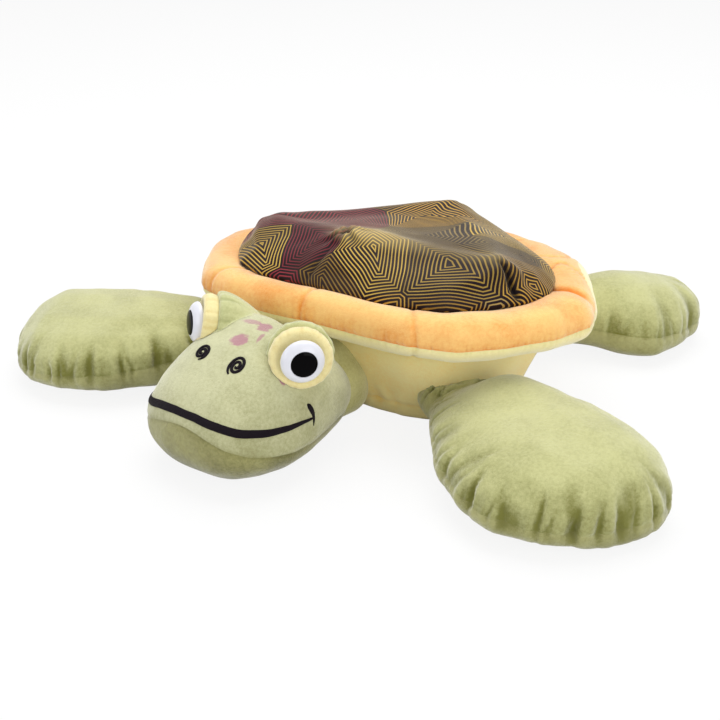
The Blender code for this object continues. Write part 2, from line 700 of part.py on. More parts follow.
def make_eye(hand, side_name):
    """One eye: a stuffed mound, a pale pad on its face, and a white eye that a washer holds from behind."""
    frame = eye_frame(hand)
    pad_back = frame @ Vector((0.0, 0.0, WASHER_TOP))
    before_pad = block("before_pad_" + side_name, pad_back, frame.to_3x3().col[2])
    mound = object_of("eye_mound_" + side_name, placed(mound_form("mound", 0.0), frame), PALE_GREEN)
    thicken(mound)
    boolean(mound, before_pad)
    boolean(mound, head_clearance)
    pocket_profile = [
        (0.0, -SHANK_LENGTH - FIT_GAP),
        (SHANK_RADIUS + FIT_GAP, -SHANK_LENGTH - FIT_GAP),
        (SHANK_RADIUS + FIT_GAP, WASHER_TOP - WASHER_THICKNESS - FIT_GAP),
        (WASHER_RADIUS + FIT_GAP, WASHER_TOP - WASHER_THICKNESS - FIT_GAP),
        (WASHER_RADIUS + FIT_GAP, OVERRUN),
        (0.0, OVERRUN),
    ]
    pocket = cutter_of("pocket_" + side_name, placed(turned("pocket", pocket_profile, EYE_STEPS), frame))
    filling_form = placed(mound_form("mound_stuffing", PLUSH + FIT_GAP), frame)
    filling = object_of("eye_mound_stuffing_" + side_name, filling_form, FILLING)
    boolean(filling, before_pad)
    boolean(filling, head_clearance)
    boolean(filling, pocket)
    bore = SHANK_RADIUS + FIT_GAP
    pad_profile = [(bore, -PAD_DEPTH), (PAD_RADIUS, -PAD_DEPTH)]
    pad_profile += [(PAD_RADIUS * share, -PAD_DEPTH * drop) for share, drop in PAD_EDGE_SHARES]
    pad_profile += [(PAD_FLAT_RADIUS, 0.0), (bore, 0.0)]
    pad = object_of("eye_pad_" + side_name, placed(turned("eye_pad", pad_profile, EYE_STEPS), frame), CREAM)
    boolean(pad, head_clearance)
    seat = frame @ Matrix.Translation((0.0, 0.0, FIT_GAP))
    white_profile = ribbed_shank() + [(EYE_RADIUS, 0.0), (EYE_RADIUS, EYE_RIM)]
    white_profile += dome_profile(EYE_RADIUS, EYE_DOME - EYE_RIM, EYE_RIM)[1:]
    white_form = placed(turned("eye_white", white_profile, EYE_STEPS), seat)
    white = object_of("eye_white_" + side_name, white_form, EYE_WHITE)
    crown = EYE_RIM + (EYE_DOME - EYE_RIM) * math.sqrt(1.0 - (PUPIL_RADIUS / EYE_RADIUS) ** 2)
    recess_profile = [
        (0.0, crown - PUPIL_RECESS),
        (PUPIL_RADIUS + FIT_GAP, crown - PUPIL_RECESS),
        (PUPIL_RADIUS + FIT_GAP, crown + OVERRUN),
        (0.0, crown + OVERRUN),
    ]
    recess = cutter_of("recess_" + side_name, placed(turned("recess", recess_profile, EYE_STEPS), seat))
    boolean(white, recess)
    floor = crown - PUPIL_RECESS + FIT_GAP
    pupil_profile = [(0.0, floor), (PUPIL_RADIUS, floor)]
    pupil_profile += dome_profile(PUPIL_RADIUS, PUPIL_DOME, crown)
    pupil_form = placed(turned("pupil", pupil_profile, EYE_STEPS), seat)
    pupil = object_of("eye_pupil_" + side_name, pupil_form, EYE_BLACK)
    washer = object_of("eye_washer_" + side_name, placed(toothed_washer("washer"), frame), WASHER_PLASTIC)
    carry(head_pivot, mound, filling, pad, white, pupil, washer)


make_eye(1.0, "left")
make_eye(-1.0, "right")


# The mouth and the nostrils are thread, stitched through the plush
def surface_of(mesh):
    """Something that finds where a ray meets the mesh."""
    form = bmesh.new()
    form.from_mesh(mesh)
    found = BVHTree.FromBMesh(form)
    form.free()
    return found


def thread(name, points, radius):
    """A raised line of stitches: a tube along the points, with filled ends."""
    curve = bpy.data.curves.new(name, "CURVE")
    curve.dimensions = "3D"
    curve.bevel_depth = radius
    curve.bevel_resolution = 1
    curve.use_fill_caps = True
    line = curve.splines.new("POLY")
    line.points.add(len(points) - 1)
    for target, place in zip(line.points, points):
        target.co = (*place, 1.0)
    made = bpy.data.objects.new(name, curve)
    parts.objects.link(made)
    curve.materials.append(THREAD)
    return made


head_surface = surface_of(head_form)


def mouth_points():
    """Points round the muzzle from corner to corner, clear of the plush by the fit."""
    found = []
    for step in range(MOUTH_POINTS):
        along = 2.0 * step / (MOUTH_POINTS - 1) - 1.0
        angle = along * MOUTH_SWEEP
        height = MOUTH_Z - MOUTH_DROP * abs(along) ** MOUTH_CURVE
        towards = head_forward * math.cos(angle) + head_side * math.sin(angle)
        start = in_head(0.0, MUZZLE_FORWARD, height)
        place, normal, _, _ = head_surface.ray_cast(start + towards * REACH, -towards)
        found.append(place + normal * (MOUTH_RADIUS + SEAT_GAP))
    return found


mouth_line = thread("mouth_line", mouth_points(), MOUTH_RADIUS)
carry(head_pivot, mouth_line)


def nostril_points(hand):
    """A flat spiral let down on to the muzzle from above."""
    found = []
    for step in range(NOSTRIL_POINTS):
        along = step / (NOSTRIL_POINTS - 1)
        turn = hand * along * NOSTRIL_TURNS * math.tau
        radius = NOSTRIL_RADIUS * (NOSTRIL_START_SHARE + (1.0 - NOSTRIL_START_SHARE) * along)
        side = hand * NOSTRIL_SIDE + radius * math.cos(turn)
        forward = NOSTRIL_FORWARD + radius * math.sin(turn)
        start = in_head(side, forward, REACH)
        place, normal, _, _ = head_surface.ray_cast(start, Vector((0.0, 0.0, -1.0)))
        found.append(place + normal * (NOSTRIL_THREAD + FIT_GAP))
    return found


for hand, side_name in ((1.0, "left"), (-1.0, "right")):
    carry(head_pivot, thread("nostril_" + side_name, nostril_points(hand), NOSTRIL_THREAD))


# The flippers
def direction(angle):
    """A level direction from its angle round from +X."""
    return Vector((math.cos(angle), math.sin(angle), 0.0))


def flipper_rings(build, length, yaw, hand):
    """Cross-sections of a flipper from the round of its root, through its hinge, out to the tip."""
    root = Vector((build["root_x"], build["root_y"], build["root_z"]))
    outward = direction(build["hinge_angle"] + math.radians(90.0))
    reach = direction(yaw)
    rings = []
    for step in range(1, ROOT_ARC_STEPS + 1):
        arc = math.radians(90.0) * step / ROOT_ARC_STEPS
        middle = root - outward * build["root_radius"] * math.cos(arc)
        half = build["root_radius"] * math.sin(arc)
        rings.append(root_section(middle, direction(build["hinge_angle"]), build["root_half_width"], half))
    for along, leading, trailing, fullness in build["shares"]:
        turn = min(along / BLEND_SHARE, 1.0)
        turn = turn * turn * (3.0 - 2.0 * turn)
        angle = build["hinge_angle"] * (1.0 - turn) + (yaw - math.radians(90.0)) * turn
        seam_z = build["root_z"] + (build["tip_z"] - build["root_z"]) * along
        middle = root + reach * length * along
        middle.z = seam_z
        rise = (build["crown"] - seam_z) * fullness
        drop = (seam_z + TABLE_FLAT) * math.sqrt(fullness)
        widths = (build["leading"] * leading, build["trailing"] * trailing)
        rings.append(cross_section(middle, direction(angle), widths, (rise, drop)))
    inner_end = root - outward * build["root_radius"]
    tip = root + reach * length
    tip.z = build["tip_z"]
    mirror = Matrix.Diagonal((hand, 1.0, 1.0))
    return [[mirror @ point for point in ring] for ring in rings], mirror @ inner_end, mirror @ tip


def root_section(middle, lead, width, half):
    """A flat section with half-round ends, for the stuffed roll at a flipper's root."""
    quarter = FLIPPER_RING // 4
    ring = []
    for step in range(FLIPPER_RING):
        angle = math.tau * step / FLIPPER_RING
        straight = math.copysign(width - half, math.cos(angle))
        if step in (quarter, 3 * quarter):
            straight = 0.0
        side = straight + half * math.cos(angle)
        ring.append(middle + lead * side + Vector((0.0, 0.0, half * math.sin(angle))))
    return ring


def cross_section(middle, lead, widths, heights):
    """A rounded section with its own half width each side of the middle, and its own rise and drop."""
    ring = []
    for step in range(FLIPPER_RING):
        across, up = superellipse(math.tau * step / FLIPPER_RING, FLIPPER_SQUARENESS)
        side = across * (widths[0] if across > 0.0 else widths[1])
        height = up * (heights[0] if up > 0.0 else heights[1])
        ring.append(middle + lead * side + Vector((0.0, 0.0, height)))
    return ring


def make_flipper(name, build, length, yaw, hand):
    """One flipper: an upper panel and a lower panel sewn round the edge over its filling."""
    rings, inner_end, tip = flipper_rings(build, length, yaw, hand)
    form = loft(name + "_form", rings, inner_end, tip, folded=True)
    root = Vector((hand * build["root_x"], build["root_y"], build["root_z"]))
    run = tip - root
    across = Vector((-run.y, run.x, 0.0))
    up = run.cross(across).normalized()
    over = block(name + "_over_seam", root + up * SEAM_GAP / 2.0, up)
    under = block(name + "_under_seam", root - up * SEAM_GAP / 2.0, -up)
    top = object_of(name + "_top", form.copy(), PALE_GREEN)
    thicken(top)
    boolean(top, over, "INTERSECT")
    bottom = object_of(name + "_bottom", form.copy(), OLIVE)
    thicken(bottom)
    boolean(bottom, under, "INTERSECT")
    boolean(bottom, under_table)
    stuffing = object_of(name + "_stuffing", moved_in(form, PLUSH + FIT_GAP, name + "_stuffing"), FILLING)
    carry(pivot(name + "_pivot", root), top, bottom, stuffing)
    hinge = direction(build["hinge_angle"])
    hinge.x *= hand
    seat_form = bmesh.new()
    bmesh.ops.create_cone(
        seat_form,
        cap_ends=True,
        segments=ROOT_SEAT_STEPS,
        radius1=build["root_radius"] + FIT_GAP,
        radius2=build["root_radius"] + FIT_GAP,
        depth=2.0 * (build["root_half_width"] + FIT_GAP),
    )
    turn = Matrix.Translation(root) @ hinge.to_track_quat("Z", "Y").to_matrix().to_4x4()
    seat = cutter_of(name + "_seat", placed(mesh_from(seat_form, name + "_seat"), turn))
    for piece in (side_wall, body_stuffing):
        boolean(piece, seat)


make_flipper("front_left_flipper", FRONT_FLIPPER, FRONT_LEFT_LENGTH, FRONT_LEFT_YAW, 1.0)
make_flipper("front_right_flipper", FRONT_FLIPPER, FRONT_RIGHT_LENGTH, FRONT_RIGHT_YAW, -1.0)
make_flipper("rear_left_flipper", REAR_FLIPPER, REAR_LENGTH, REAR_YAW, 1.0)
make_flipper("rear_right_flipper", REAR_FLIPPER, REAR_LENGTH, REAR_YAW, -1.0)


# The tail: a short stuffed cone sewn to the wall under the back of the shell
def make_tail():
    """The tail's cover over its filling, both ending where the wall is."""
    base = SHELL_MIDDLE + Vector((0.0, SHELL_REAR * WALL_SHARES[1][0] - TAIL_SINK, TAIL_Z))
    rings = []
    for along, width in TAIL_SHARES:
        middle = base + Vector((0.0, TAIL_LENGTH * along, -TAIL_DROP * along**2))
        ring = []
        for step in range(TAIL_RING):
            angle = math.tau * step / TAIL_RING
            side = math.cos(angle) * TAIL_HALF_WIDTH * width
            ring.append(middle + Vector((side, 0.0, math.sin(angle) * TAIL_HALF_HEIGHT * width)))
        rings.append(ring)
    tip = base + Vector((0.0, TAIL_LENGTH, -TAIL_DROP))
    form = loft("tail_form", rings, base + Vector((0.0, TAIL_LENGTH * TAIL_SHARES[0][0], 0.0)), tip)
    wall = cutter_of("torso_clearance", moved_in(torso_form, -FIT_GAP, "torso_clearance"))
    cover = object_of("tail_cover", form.copy(), PALE_GREEN)
    thicken(cover)
    boolean(cover, wall)
    filling = object_of("tail_stuffing", moved_in(form, PLUSH + FIT_GAP, "tail_stuffing"), FILLING)
    boolean(filling, wall)


make_tail()
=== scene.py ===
"""A plush sea turtle on a white table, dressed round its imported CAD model.

Metres, +Z up. The turtle faces -Y and its own left side is +X. The sections follow the order in which
the toy is put together: body, rim, shell, tail, neck, head, eyes, mouth, nostrils and flippers.
"""

import math
import random

import bmesh
import bpy
import numpy as np
from mathutils import Matrix, Vector, noise
from mathutils.bvhtree import BVHTree
from mathutils.kdtree import KDTree


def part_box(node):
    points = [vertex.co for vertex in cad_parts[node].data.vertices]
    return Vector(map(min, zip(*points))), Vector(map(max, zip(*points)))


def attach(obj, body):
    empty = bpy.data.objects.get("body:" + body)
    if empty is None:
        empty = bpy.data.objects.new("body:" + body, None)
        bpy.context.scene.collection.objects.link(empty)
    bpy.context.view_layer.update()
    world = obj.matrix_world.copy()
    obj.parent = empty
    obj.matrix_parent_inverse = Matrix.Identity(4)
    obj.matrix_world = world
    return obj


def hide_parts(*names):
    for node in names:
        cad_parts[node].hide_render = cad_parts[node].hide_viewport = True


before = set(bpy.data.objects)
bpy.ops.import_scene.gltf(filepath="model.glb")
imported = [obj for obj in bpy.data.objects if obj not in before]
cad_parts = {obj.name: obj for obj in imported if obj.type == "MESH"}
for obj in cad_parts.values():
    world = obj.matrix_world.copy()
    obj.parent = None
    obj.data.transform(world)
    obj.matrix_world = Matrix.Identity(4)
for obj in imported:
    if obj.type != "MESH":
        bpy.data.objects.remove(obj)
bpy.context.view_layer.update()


# The studio: a white sweep under one large softbox above and behind, with a soft fill from either side.
# The toy stands straight on the sweep, and the camera looks at it from its left front, a little from above.
AIM = Vector((0.0, -0.030, 0.055))
CAMERA_AZIMUTH = math.radians(36.0)
CAMERA_ELEVATION = math.radians(24.0)
CAMERA_DISTANCE = 0.950
FRAME_PIXELS = 720.0
PIXELS_UP = 30.0
FOCAL_PIXELS = 1250.0
SENSOR = 36.0
LEVEL = math.cos(CAMERA_ELEVATION)
TOWARDS_CAMERA = Vector(
    (math.sin(CAMERA_AZIMUTH) * LEVEL, -math.cos(CAMERA_AZIMUTH) * LEVEL, math.sin(CAMERA_ELEVATION))
)

view_lens = bpy.data.cameras.new("camera")
view_lens.sensor_width = SENSOR
view_lens.lens = FOCAL_PIXELS * SENSOR / FRAME_PIXELS
view_lens.shift_y = -PIXELS_UP / FRAME_PIXELS
camera = bpy.data.objects.new("camera", view_lens)
camera.location = AIM + TOWARDS_CAMERA * CAMERA_DISTANCE
camera.rotation_euler = TOWARDS_CAMERA.to_track_quat("Z", "Y").to_euler()
bpy.context.scene.collection.objects.link(camera)
bpy.context.scene.camera = camera
bpy.context.scene.view_settings.view_transform = "Standard"


def lamp(name, place, target, size, watts):
    """A square softbox that faces its target."""
    light = bpy.data.lights.new(name, "AREA")
    light.size = size
    light.energy = watts
    made = bpy.data.objects.new(name, light)
    made.location = place
    made.rotation_euler = (Vector(place) - Vector(target)).to_track_quat("Z", "Y").to_euler()
    bpy.context.scene.collection.objects.link(made)


lamp("overhead_softbox", (-0.20, 0.42, 1.50), (0.0, 0.0, 0.0), 1.40, 24.0)
lamp("left_fill", (-0.70, -1.40, 0.60), (0.0, -0.05, 0.05), 1.00, 5.5)
lamp("right_fill", (1.35, -0.40, 0.55), (0.0, -0.05, 0.05), 1.00, 7.0)


class Wire:
    """A socket of a material. Sums on it add Math nodes, and node() adds a node of any other kind."""

    def __init__(self, socket):
        self.socket = socket
        self.tree = socket.id_data

    def node(self, kind, inputs, output=0, stops=None, **settings):
        """Adds a node, sets it up, then gives its sockets their values or links."""
        made = self.tree.nodes.new(kind)
        for name, value in settings.items():
            setattr(made, name, value)
        if stops:
            ramp = made.color_ramp.elements
            while len(ramp) < len(stops):
                ramp.new(1.0)
            for stop, (place, colour) in zip(ramp, stops):
                stop.position = place
                stop.color = (*colour, 1.0)
        for key, value in inputs.items():
            if isinstance(value, Wire):
                self.tree.links.new(value.socket, made.inputs[key])
            else:
                made.inputs[key].default_value = value
        return Wire(made.outputs[output])

    def maths(self, operation, first, second=0.0):
        return self.node("ShaderNodeMath", {0: first, 1: second}, operation=operation)

    def __add__(self, other):
        return self.maths("ADD", self, other)

    __radd__ = __add__

    def __mul__(self, other):
        return self.maths("MULTIPLY", self, other)

    __rmul__ = __mul__

    def __sub__(self, other):
        return self.maths("SUBTRACT", self, other)

    def __rsub__(self, other):
        return self.maths("SUBTRACT", other, self)

    def __truediv__(self, other):
        return self.maths("DIVIDE", self, other)

    def blend(self, low, high):
        """Low where this is 0, high where it is 1."""
        ends = {"A": low, "B": high, "Factor": self}
        made = self.tree.nodes.new("ShaderNodeMix")
        made.data_type = "RGBA"
        for socket in made.inputs:
            if socket.name == "Factor" and socket.type == "VALUE":
                self.tree.links.new(self.socket, socket)
            elif socket.type == "RGBA" and socket.name in ends:
                end = ends[socket.name]
                if isinstance(end, Wire):
                    self.tree.links.new(end.socket, socket)
                else:
                    socket.default_value = (*end, 1.0)
        return Wire(next(socket for socket in made.outputs if socket.type == "RGBA"))

    def band(self, low, high):
        """0 below low, 1 above high, and smooth between them."""
        inputs = {"Value": self, "From Min": low, "From Max": high}
        return self.node("ShaderNodeMapRange", inputs, interpolation_type="SMOOTHSTEP")


def shown_white(tree, lit, white):
    """What a mirror or the camera sees is white, and everything else is lit as usual."""
    path = Wire(tree.nodes.new("ShaderNodeLightPath").outputs["Is Camera Ray"])
    seen = path.socket.node.outputs
    share = path.maths("MAXIMUM", path, Wire(seen["Is Glossy Ray"]))
    share = path.maths("MAXIMUM", share, Wire(seen["Is Transmission Ray"]))
    return path.node("ShaderNodeMixShader", {0: share * white, 1: lit[0], 2: lit[1]})


AMBIENT = 0.48
world = bpy.data.worlds.new("white_room")
world.use_nodes = True
bpy.context.scene.world = world
room = world.node_tree
room_light = Wire(room.nodes["Background"].outputs[0])
room.nodes["Background"].inputs["Color"].default_value = (1.0, 1.0, 1.0, 1.0)
room.nodes["Background"].inputs["Strength"].default_value = AMBIENT
room_seen = room_light.node("ShaderNodeBackground", {"Color": (1.0, 1.0, 1.0, 1.0), "Strength": 1.0})
room.links.new(
    shown_white(room, (room_light, room_seen), 1.0).socket, room.nodes["World Output"].inputs["Surface"]
)

SWEEP_SIZE = 30.0
SWEEP_GLOW = 0.88
PAPER_WHITE = 0.86
sweep_form = bmesh.new()
bmesh.ops.create_grid(sweep_form, x_segments=2, y_segments=2, size=SWEEP_SIZE / 2.0)
sweep_mesh = bpy.data.meshes.new("white_sweep")
sweep_form.to_mesh(sweep_mesh)
sweep_form.free()
sweep = bpy.data.objects.new("white_sweep", sweep_mesh)
bpy.context.scene.collection.objects.link(sweep)
paper = bpy.data.materials.new("white_paper")
paper.use_nodes = True
paper_shader = paper.node_tree.nodes["Principled BSDF"]
paper_shader.inputs["Base Color"].default_value = (PAPER_WHITE, PAPER_WHITE, PAPER_WHITE, 1.0)
paper_shader.inputs["Roughness"].default_value = 1.0
paper_shader.inputs["Specular IOR Level"].default_value = 0.0
paper_lit = Wire(paper_shader.outputs[0])
paper_glow = paper_lit.node("ShaderNodeEmission", {"Color": (1.0, 1.0, 1.0, 1.0), "Strength": 1.0})
paper.node_tree.links.new(
    shown_white(paper.node_tree, (paper_lit, paper_glow), SWEEP_GLOW).socket,
    paper.node_tree.nodes["Material Output"].inputs["Surface"],
)
sweep_mesh.materials.append(paper)


# The body: a flat stuffed bag of cream plush, sewn from a belly panel and one side wall with the seam low
# down. It is closed in one go and filled, and the flippers' roots are sewn on to the wall.
MERGE = 0.00001


def joined(*nodes):
    """The CAD nodes' solids in one mesh, with their loose triangles merged."""
    form = bmesh.new()
    for node in nodes:
        form.from_mesh(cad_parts[node].data)
    bmesh.ops.remove_doubles(form, verts=form.verts, dist=MERGE)
    mesh = bpy.data.meshes.new(nodes[0])
    form.to_mesh(mesh)
    form.free()
    return mesh


def worked(mesh, kind, **settings):
    """The mesh as one modifier leaves it."""
    holder = bpy.data.objects.new(mesh.name, mesh)
    bpy.context.scene.collection.objects.link(holder)
    step = holder.modifiers.new(kind, kind)
    for name, value in settings.items():
        setattr(step, name, value)
    bpy.context.view_layer.update()
    made = bpy.data.meshes.new_from_object(holder.evaluated_get(bpy.context.evaluated_depsgraph_get()))
    bpy.data.objects.remove(holder)
    return made


SHRINK = 0.50
GROW = -0.51


def relaxed(mesh, rounds):
    """Smooths a form over and over without shrinking it."""
    rows = places(mesh)
    ends = np.empty(len(mesh.edges) * 2, dtype=np.int32)
    mesh.edges.foreach_get("vertices", ends)
    first, second = ends.reshape(-1, 2).T
    count = np.bincount(ends, minlength=len(rows))
    for step in range(2 * rounds):
        factor = SHRINK if step % 2 == 0 else GROW
        for axis in range(3):
            total = np.bincount(first, rows[second, axis], len(rows))
            total += np.bincount(second, rows[first, axis], len(rows))
            rows[:, axis] += (total / count - rows[:, axis]) * factor
    put(mesh, rows)


def spanned(mesh):
    """The mesh with its hollows bridged over, as a taut cloth would."""
    form = bmesh.new()
    form.from_mesh(mesh)
    bmesh.ops.delete(form, geom=form.edges[:], context="EDGES_FACES")
    bmesh.ops.convex_hull(form, input=form.verts)
    bmesh.ops.delete(form, geom=[v for v in form.verts if not v.link_faces], context="VERTS")
    bmesh.ops.recalc_face_normals(form, faces=form.faces)
    form.to_mesh(mesh)
    form.free()
    return mesh


def soft_form(grain, *nodes, rounds=34, taut=False):
    """One closed, softly rounded form round the CAD nodes, in quads of half the grain."""
    solid = spanned(joined(*nodes)) if taut else joined(*nodes)
    mesh = worked(solid, "REMESH", mode="VOXEL", voxel_size=grain)
    form = bmesh.new()
    form.from_mesh(mesh)
    islands = []
    left = set(form.verts)
    while left:
        island = {left.pop()}
        edge = list(island)
        while edge:
            for link in edge.pop().link_edges:
                for vertex in link.verts:
                    if vertex in left:
                        left.remove(vertex)
                        island.add(vertex)
                        edge.append(vertex)
        islands.append(island)
    biggest = max(islands, key=len)
    bmesh.ops.delete(form, geom=[v for v in form.verts if v not in biggest], context="VERTS")
    made = bpy.data.meshes.new(nodes[0])
    form.to_mesh(made)
    form.free()
    relaxed(made, rounds)
    return worked(made, "SUBSURF", levels=1, render_levels=1)


def places(mesh):
    """The vertices' places as rows of numbers."""
    found = np.empty(len(mesh.vertices) * 3, dtype=np.float32)
    mesh.vertices.foreach_get("co", found)
    return found.reshape(-1, 3).astype(float)


def outward(mesh):
    """The vertices' normals as rows of numbers."""
    found = np.empty(len(mesh.vertices) * 3, dtype=np.float32)
    mesh.vertex_normals.foreach_get("vector", found)
    return found.reshape(-1, 3).astype(float)


def put(mesh, rows):
    """Moves the vertices to these places, none of them below the table."""
    rows[:, 2] = np.maximum(rows[:, 2], 0.0)
    mesh.vertices.foreach_set("co", rows.ravel())
    mesh.update()


SEAM_TOUCH = 0.0009


def seam_plane(upper, lower):
    """The middle and the upward normal of the seam between two CAD covers, where their edges all but touch."""
    near = KDTree(len(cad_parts[lower].data.vertices))
    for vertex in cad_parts[lower].data.vertices:
        near.insert(vertex.co, vertex.index)
    near.balance()
    edge = [v.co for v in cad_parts[upper].data.vertices if near.find(v.co)[2] < SEAM_TOUCH]
    rows = np.array(edge)
    middle = rows.mean(axis=0)
    normal = np.linalg.svd(rows - middle)[2][2]
    return Vector(middle), Vector(normal * math.copysign(1.0, normal[2]))


LONGEST_STITCH = 0.004


def seam_on(mesh, plane):
    """How far each vertex lies from the seam, where along it that is, and how long the seam is."""
    form = bmesh.new()
    form.from_mesh(mesh)
    everything = form.verts[:] + form.edges[:] + form.faces[:]
    cut = bmesh.ops.bisect_plane(form, geom=everything, plane_co=plane[0], plane_no=plane[1])
    stitches = [item.co.copy() for item in cut["geom_cut"] if isinstance(item, bmesh.types.BMVert)]
    form.free()
    middle = sum(stitches, Vector()) / len(stitches)
    stitches.sort(key=lambda stitch: math.atan2(stitch.y - middle.y, stitch.x - middle.x))
    run = [0.0]
    for before, after in zip(stitches, stitches[1:]):
        run.append(run[-1] + min((after - before).length, LONGEST_STITCH))
    tree = KDTree(len(stitches))
    for number, stitch in enumerate(stitches):
        tree.insert(stitch, number)
    tree.balance()
    found = [tree.find(row) for row in places(mesh)]
    return np.array([hit[2] for hit in found]), np.array([run[hit[1]] for hit in found]), run[-1]


def groove(seam, depth, width):
    """How far a seam draws the cloth in."""
    return -depth * np.exp(-((seam[0] / width) ** 2))


def gathers(seam, spacing, depth, reach, seed):
    """Puckers along a seam: each a valley that fades away from the stitches, between two low rolls."""
    draw = random.Random(seed)
    distance, along, total = seam
    move = np.zeros(len(distance))
    for number in range(round(total / spacing)):
        at = (number + draw.uniform(-0.35, 0.35)) * spacing
        deep = depth * draw.uniform(0.35, 1.0)
        length = reach * draw.uniform(0.45, 1.0)
        wide = spacing * draw.uniform(0.12, 0.20)
        lean = draw.uniform(-0.30, 0.30)
        if not 0.0 <= at <= total:
            continue
        away = (along + lean * distance - at + total / 2.0) % total - total / 2.0
        fade = np.clip(1.0 - distance / length, 0.0, 1.0)
        fade = fade * fade * (3.0 - 2.0 * fade)
        move -= deep * np.exp(-((away / wide) ** 2)) * fade
        move += 0.30 * deep * np.exp(-(((np.abs(away) - 2.2 * wide) / wide) ** 2)) * fade
    return move


def lumps(mesh, size, height, seed):
    """The low unevenness of a hand-stuffed filling."""
    shift = Vector((seed * 7.31, seed * 3.17, seed * 1.73))
    return np.array([noise.noise(Vector(row) / size + shift) for row in places(mesh)]) * height


# Folds this deep or deeper get the darkest painted shade.
DEEP_FOLD = 0.0030


def pressed(mesh, move, shade=None):
    """Moves each vertex along its normal, and keeps how deep it lies in a fold, which the materials paint as shade.
    """
    rows = places(mesh) + outward(mesh) * move[:, None]
    put(mesh, rows)
    # Painted shade: how dark each vertex is painted for lying in a fold.
    fold_shade = np.clip(-(move if shade is None else shade) / DEEP_FOLD, 0.0, 1.0)
    layer = mesh.attributes.get("fold_shade") or mesh.attributes.new("fold_shade", "FLOAT", "POINT")
    layer.data.foreach_set("value", fold_shade.astype(np.float32))


def half(mesh, plane, side, name):
    """The part of a form on one side of a seam, closed across the seam."""
    form = bmesh.new()
    form.from_mesh(mesh)
    everything = form.verts[:] + form.edges[:] + form.faces[:]
    cut = bmesh.ops.bisect_plane(
        form, geom=everything, plane_co=plane[0], plane_no=plane[1] * side, clear_inner=True
    )
    stitches = [item for item in cut["geom_cut"] if isinstance(item, bmesh.types.BMEdge)]
    bmesh.ops.edgeloop_fill(form, edges=stitches)
    bmesh.ops.recalc_face_normals(form, faces=form.faces)
    for stitch in stitches:
        stitch.smooth = False
    made = bpy.data.meshes.new(name)
    form.to_mesh(made)
    form.free()
    return made


def piece_of(name, mesh, finish, slot, body, *nodes, fill=None):
    """A finished piece: its finish, the body that it rides on and the CAD nodes that it stands for."""
    made = bpy.data.objects.new(name, mesh)
    bpy.context.scene.collection.objects.link(made)
    made.data.materials.clear()
    made.data.materials.append(finish)
    made.data.polygons.foreach_set("use_smooth", [True] * len(mesh.polygons))
    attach(made, body)
    if nodes:
        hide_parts(*nodes)
    return made


def linear(red, green, blue):
    """A colour as a screen shows it, from 0 to 255, in the shader's own terms."""
    return tuple((part / 255.0) ** 2.2 for part in (red, green, blue))


def blank(name):
    """A new finish, and the place on the toy at which its patterns are read."""
    made = bpy.data.materials.new(name)
    made.use_nodes = True
    return made, Wire(made.node_tree.nodes.new("ShaderNodeTexCoord").outputs["Object"])


def applied(made, wires, numbers):
    """Gives a finish's shader what varies over the cloth, and what is the same all over it."""
    sockets = made.node_tree.nodes["Principled BSDF"].inputs
    for name, wire in wires.items():
        made.node_tree.links.new(wire.socket, sockets[name])
    for name, number in numbers.items():
        sockets[name].default_value = number
    return made


def plush(name, pale, deep, seed=0.0, low=0.0, drift=0.20):
    """Short brushed pile: its colour drifts with the nap, and painted shade makes it deeper in the folds and below a
    height.
    """
    made, place = blank(name)
    nap, tuft, pile = [
        place.node(
            "ShaderNodeTexNoise",
            {"Vector": place, "W": seed, "Scale": scale, "Detail": detail},
            noise_dimensions="4D",
        )
        for scale, detail in ((34.0, 3.0), (420.0, 3.0), (1500.0, 2.0))
    ]
    # Painted shade: the pile is darkened in creases, by how deep each vertex lies in a fold.
    fold_shade = place.node("ShaderNodeAttribute", {}, output="Fac", attribute_name="fold_shade")
    shade = nap.band(0.35, 0.68) * drift + tuft.band(0.30, 0.72) * 0.17 + pile.band(0.25, 0.75) * 0.17 + fold_shade * 0.75
    # Painted shade: the pile is darkened below the given height, where less light reaches it.
    if low > 0.0:
        height = place.node("ShaderNodeSeparateXYZ", {0: place}, output="Z")
        shade = shade + (1.0 - height.band(0.0, low)) * 0.50
    bump = place.node("ShaderNodeBump", {"Strength": 0.45, "Distance": 0.0011, "Height": tuft * 0.5 + pile})
    return applied(
        made,
        {"Base Color": shade.band(0.0, 1.0).blend(pale, deep), "Normal": bump},
        {
            "Roughness": 0.95,
            "Specular IOR Level": 0.12,
            "Sheen Weight": 1.0,
            "Sheen Roughness": 0.45,
            "Sheen Tint": (*[(2.0 + part) / 3.0 for part in pale], 1.0),
        },
    )


CREAM = plush("cream_plush", linear(255, 240, 174), linear(252, 214, 122), 1.0)
body_form = soft_form(0.0032, "body_stuffing", "side_wall", "belly_panel", taut=True)
belly_seam = seam_plane("side_wall", "belly_panel")
body_seam = seam_on(body_form, belly_seam)
body_move = groove(body_seam, 0.0008, 0.0018) + gathers(body_seam, 0.021, 0.0013, 0.026, 11)
body_move += lumps(body_form, 0.045, 0.0012, 1)
pressed(body_form, body_move)
piece_of(
    "side_wall_cover", half(body_form, belly_seam, 1.0, "side_wall_cover"), CREAM, "cream_plush", "body",
    "side_wall", "body_stuffing", fill=0.7,
)
piece_of(
    "belly_cover", half(body_form, belly_seam, -1.0, "belly_cover"), CREAM, "cream_plush", "body",
    "belly_panel", fill=0.7,
)


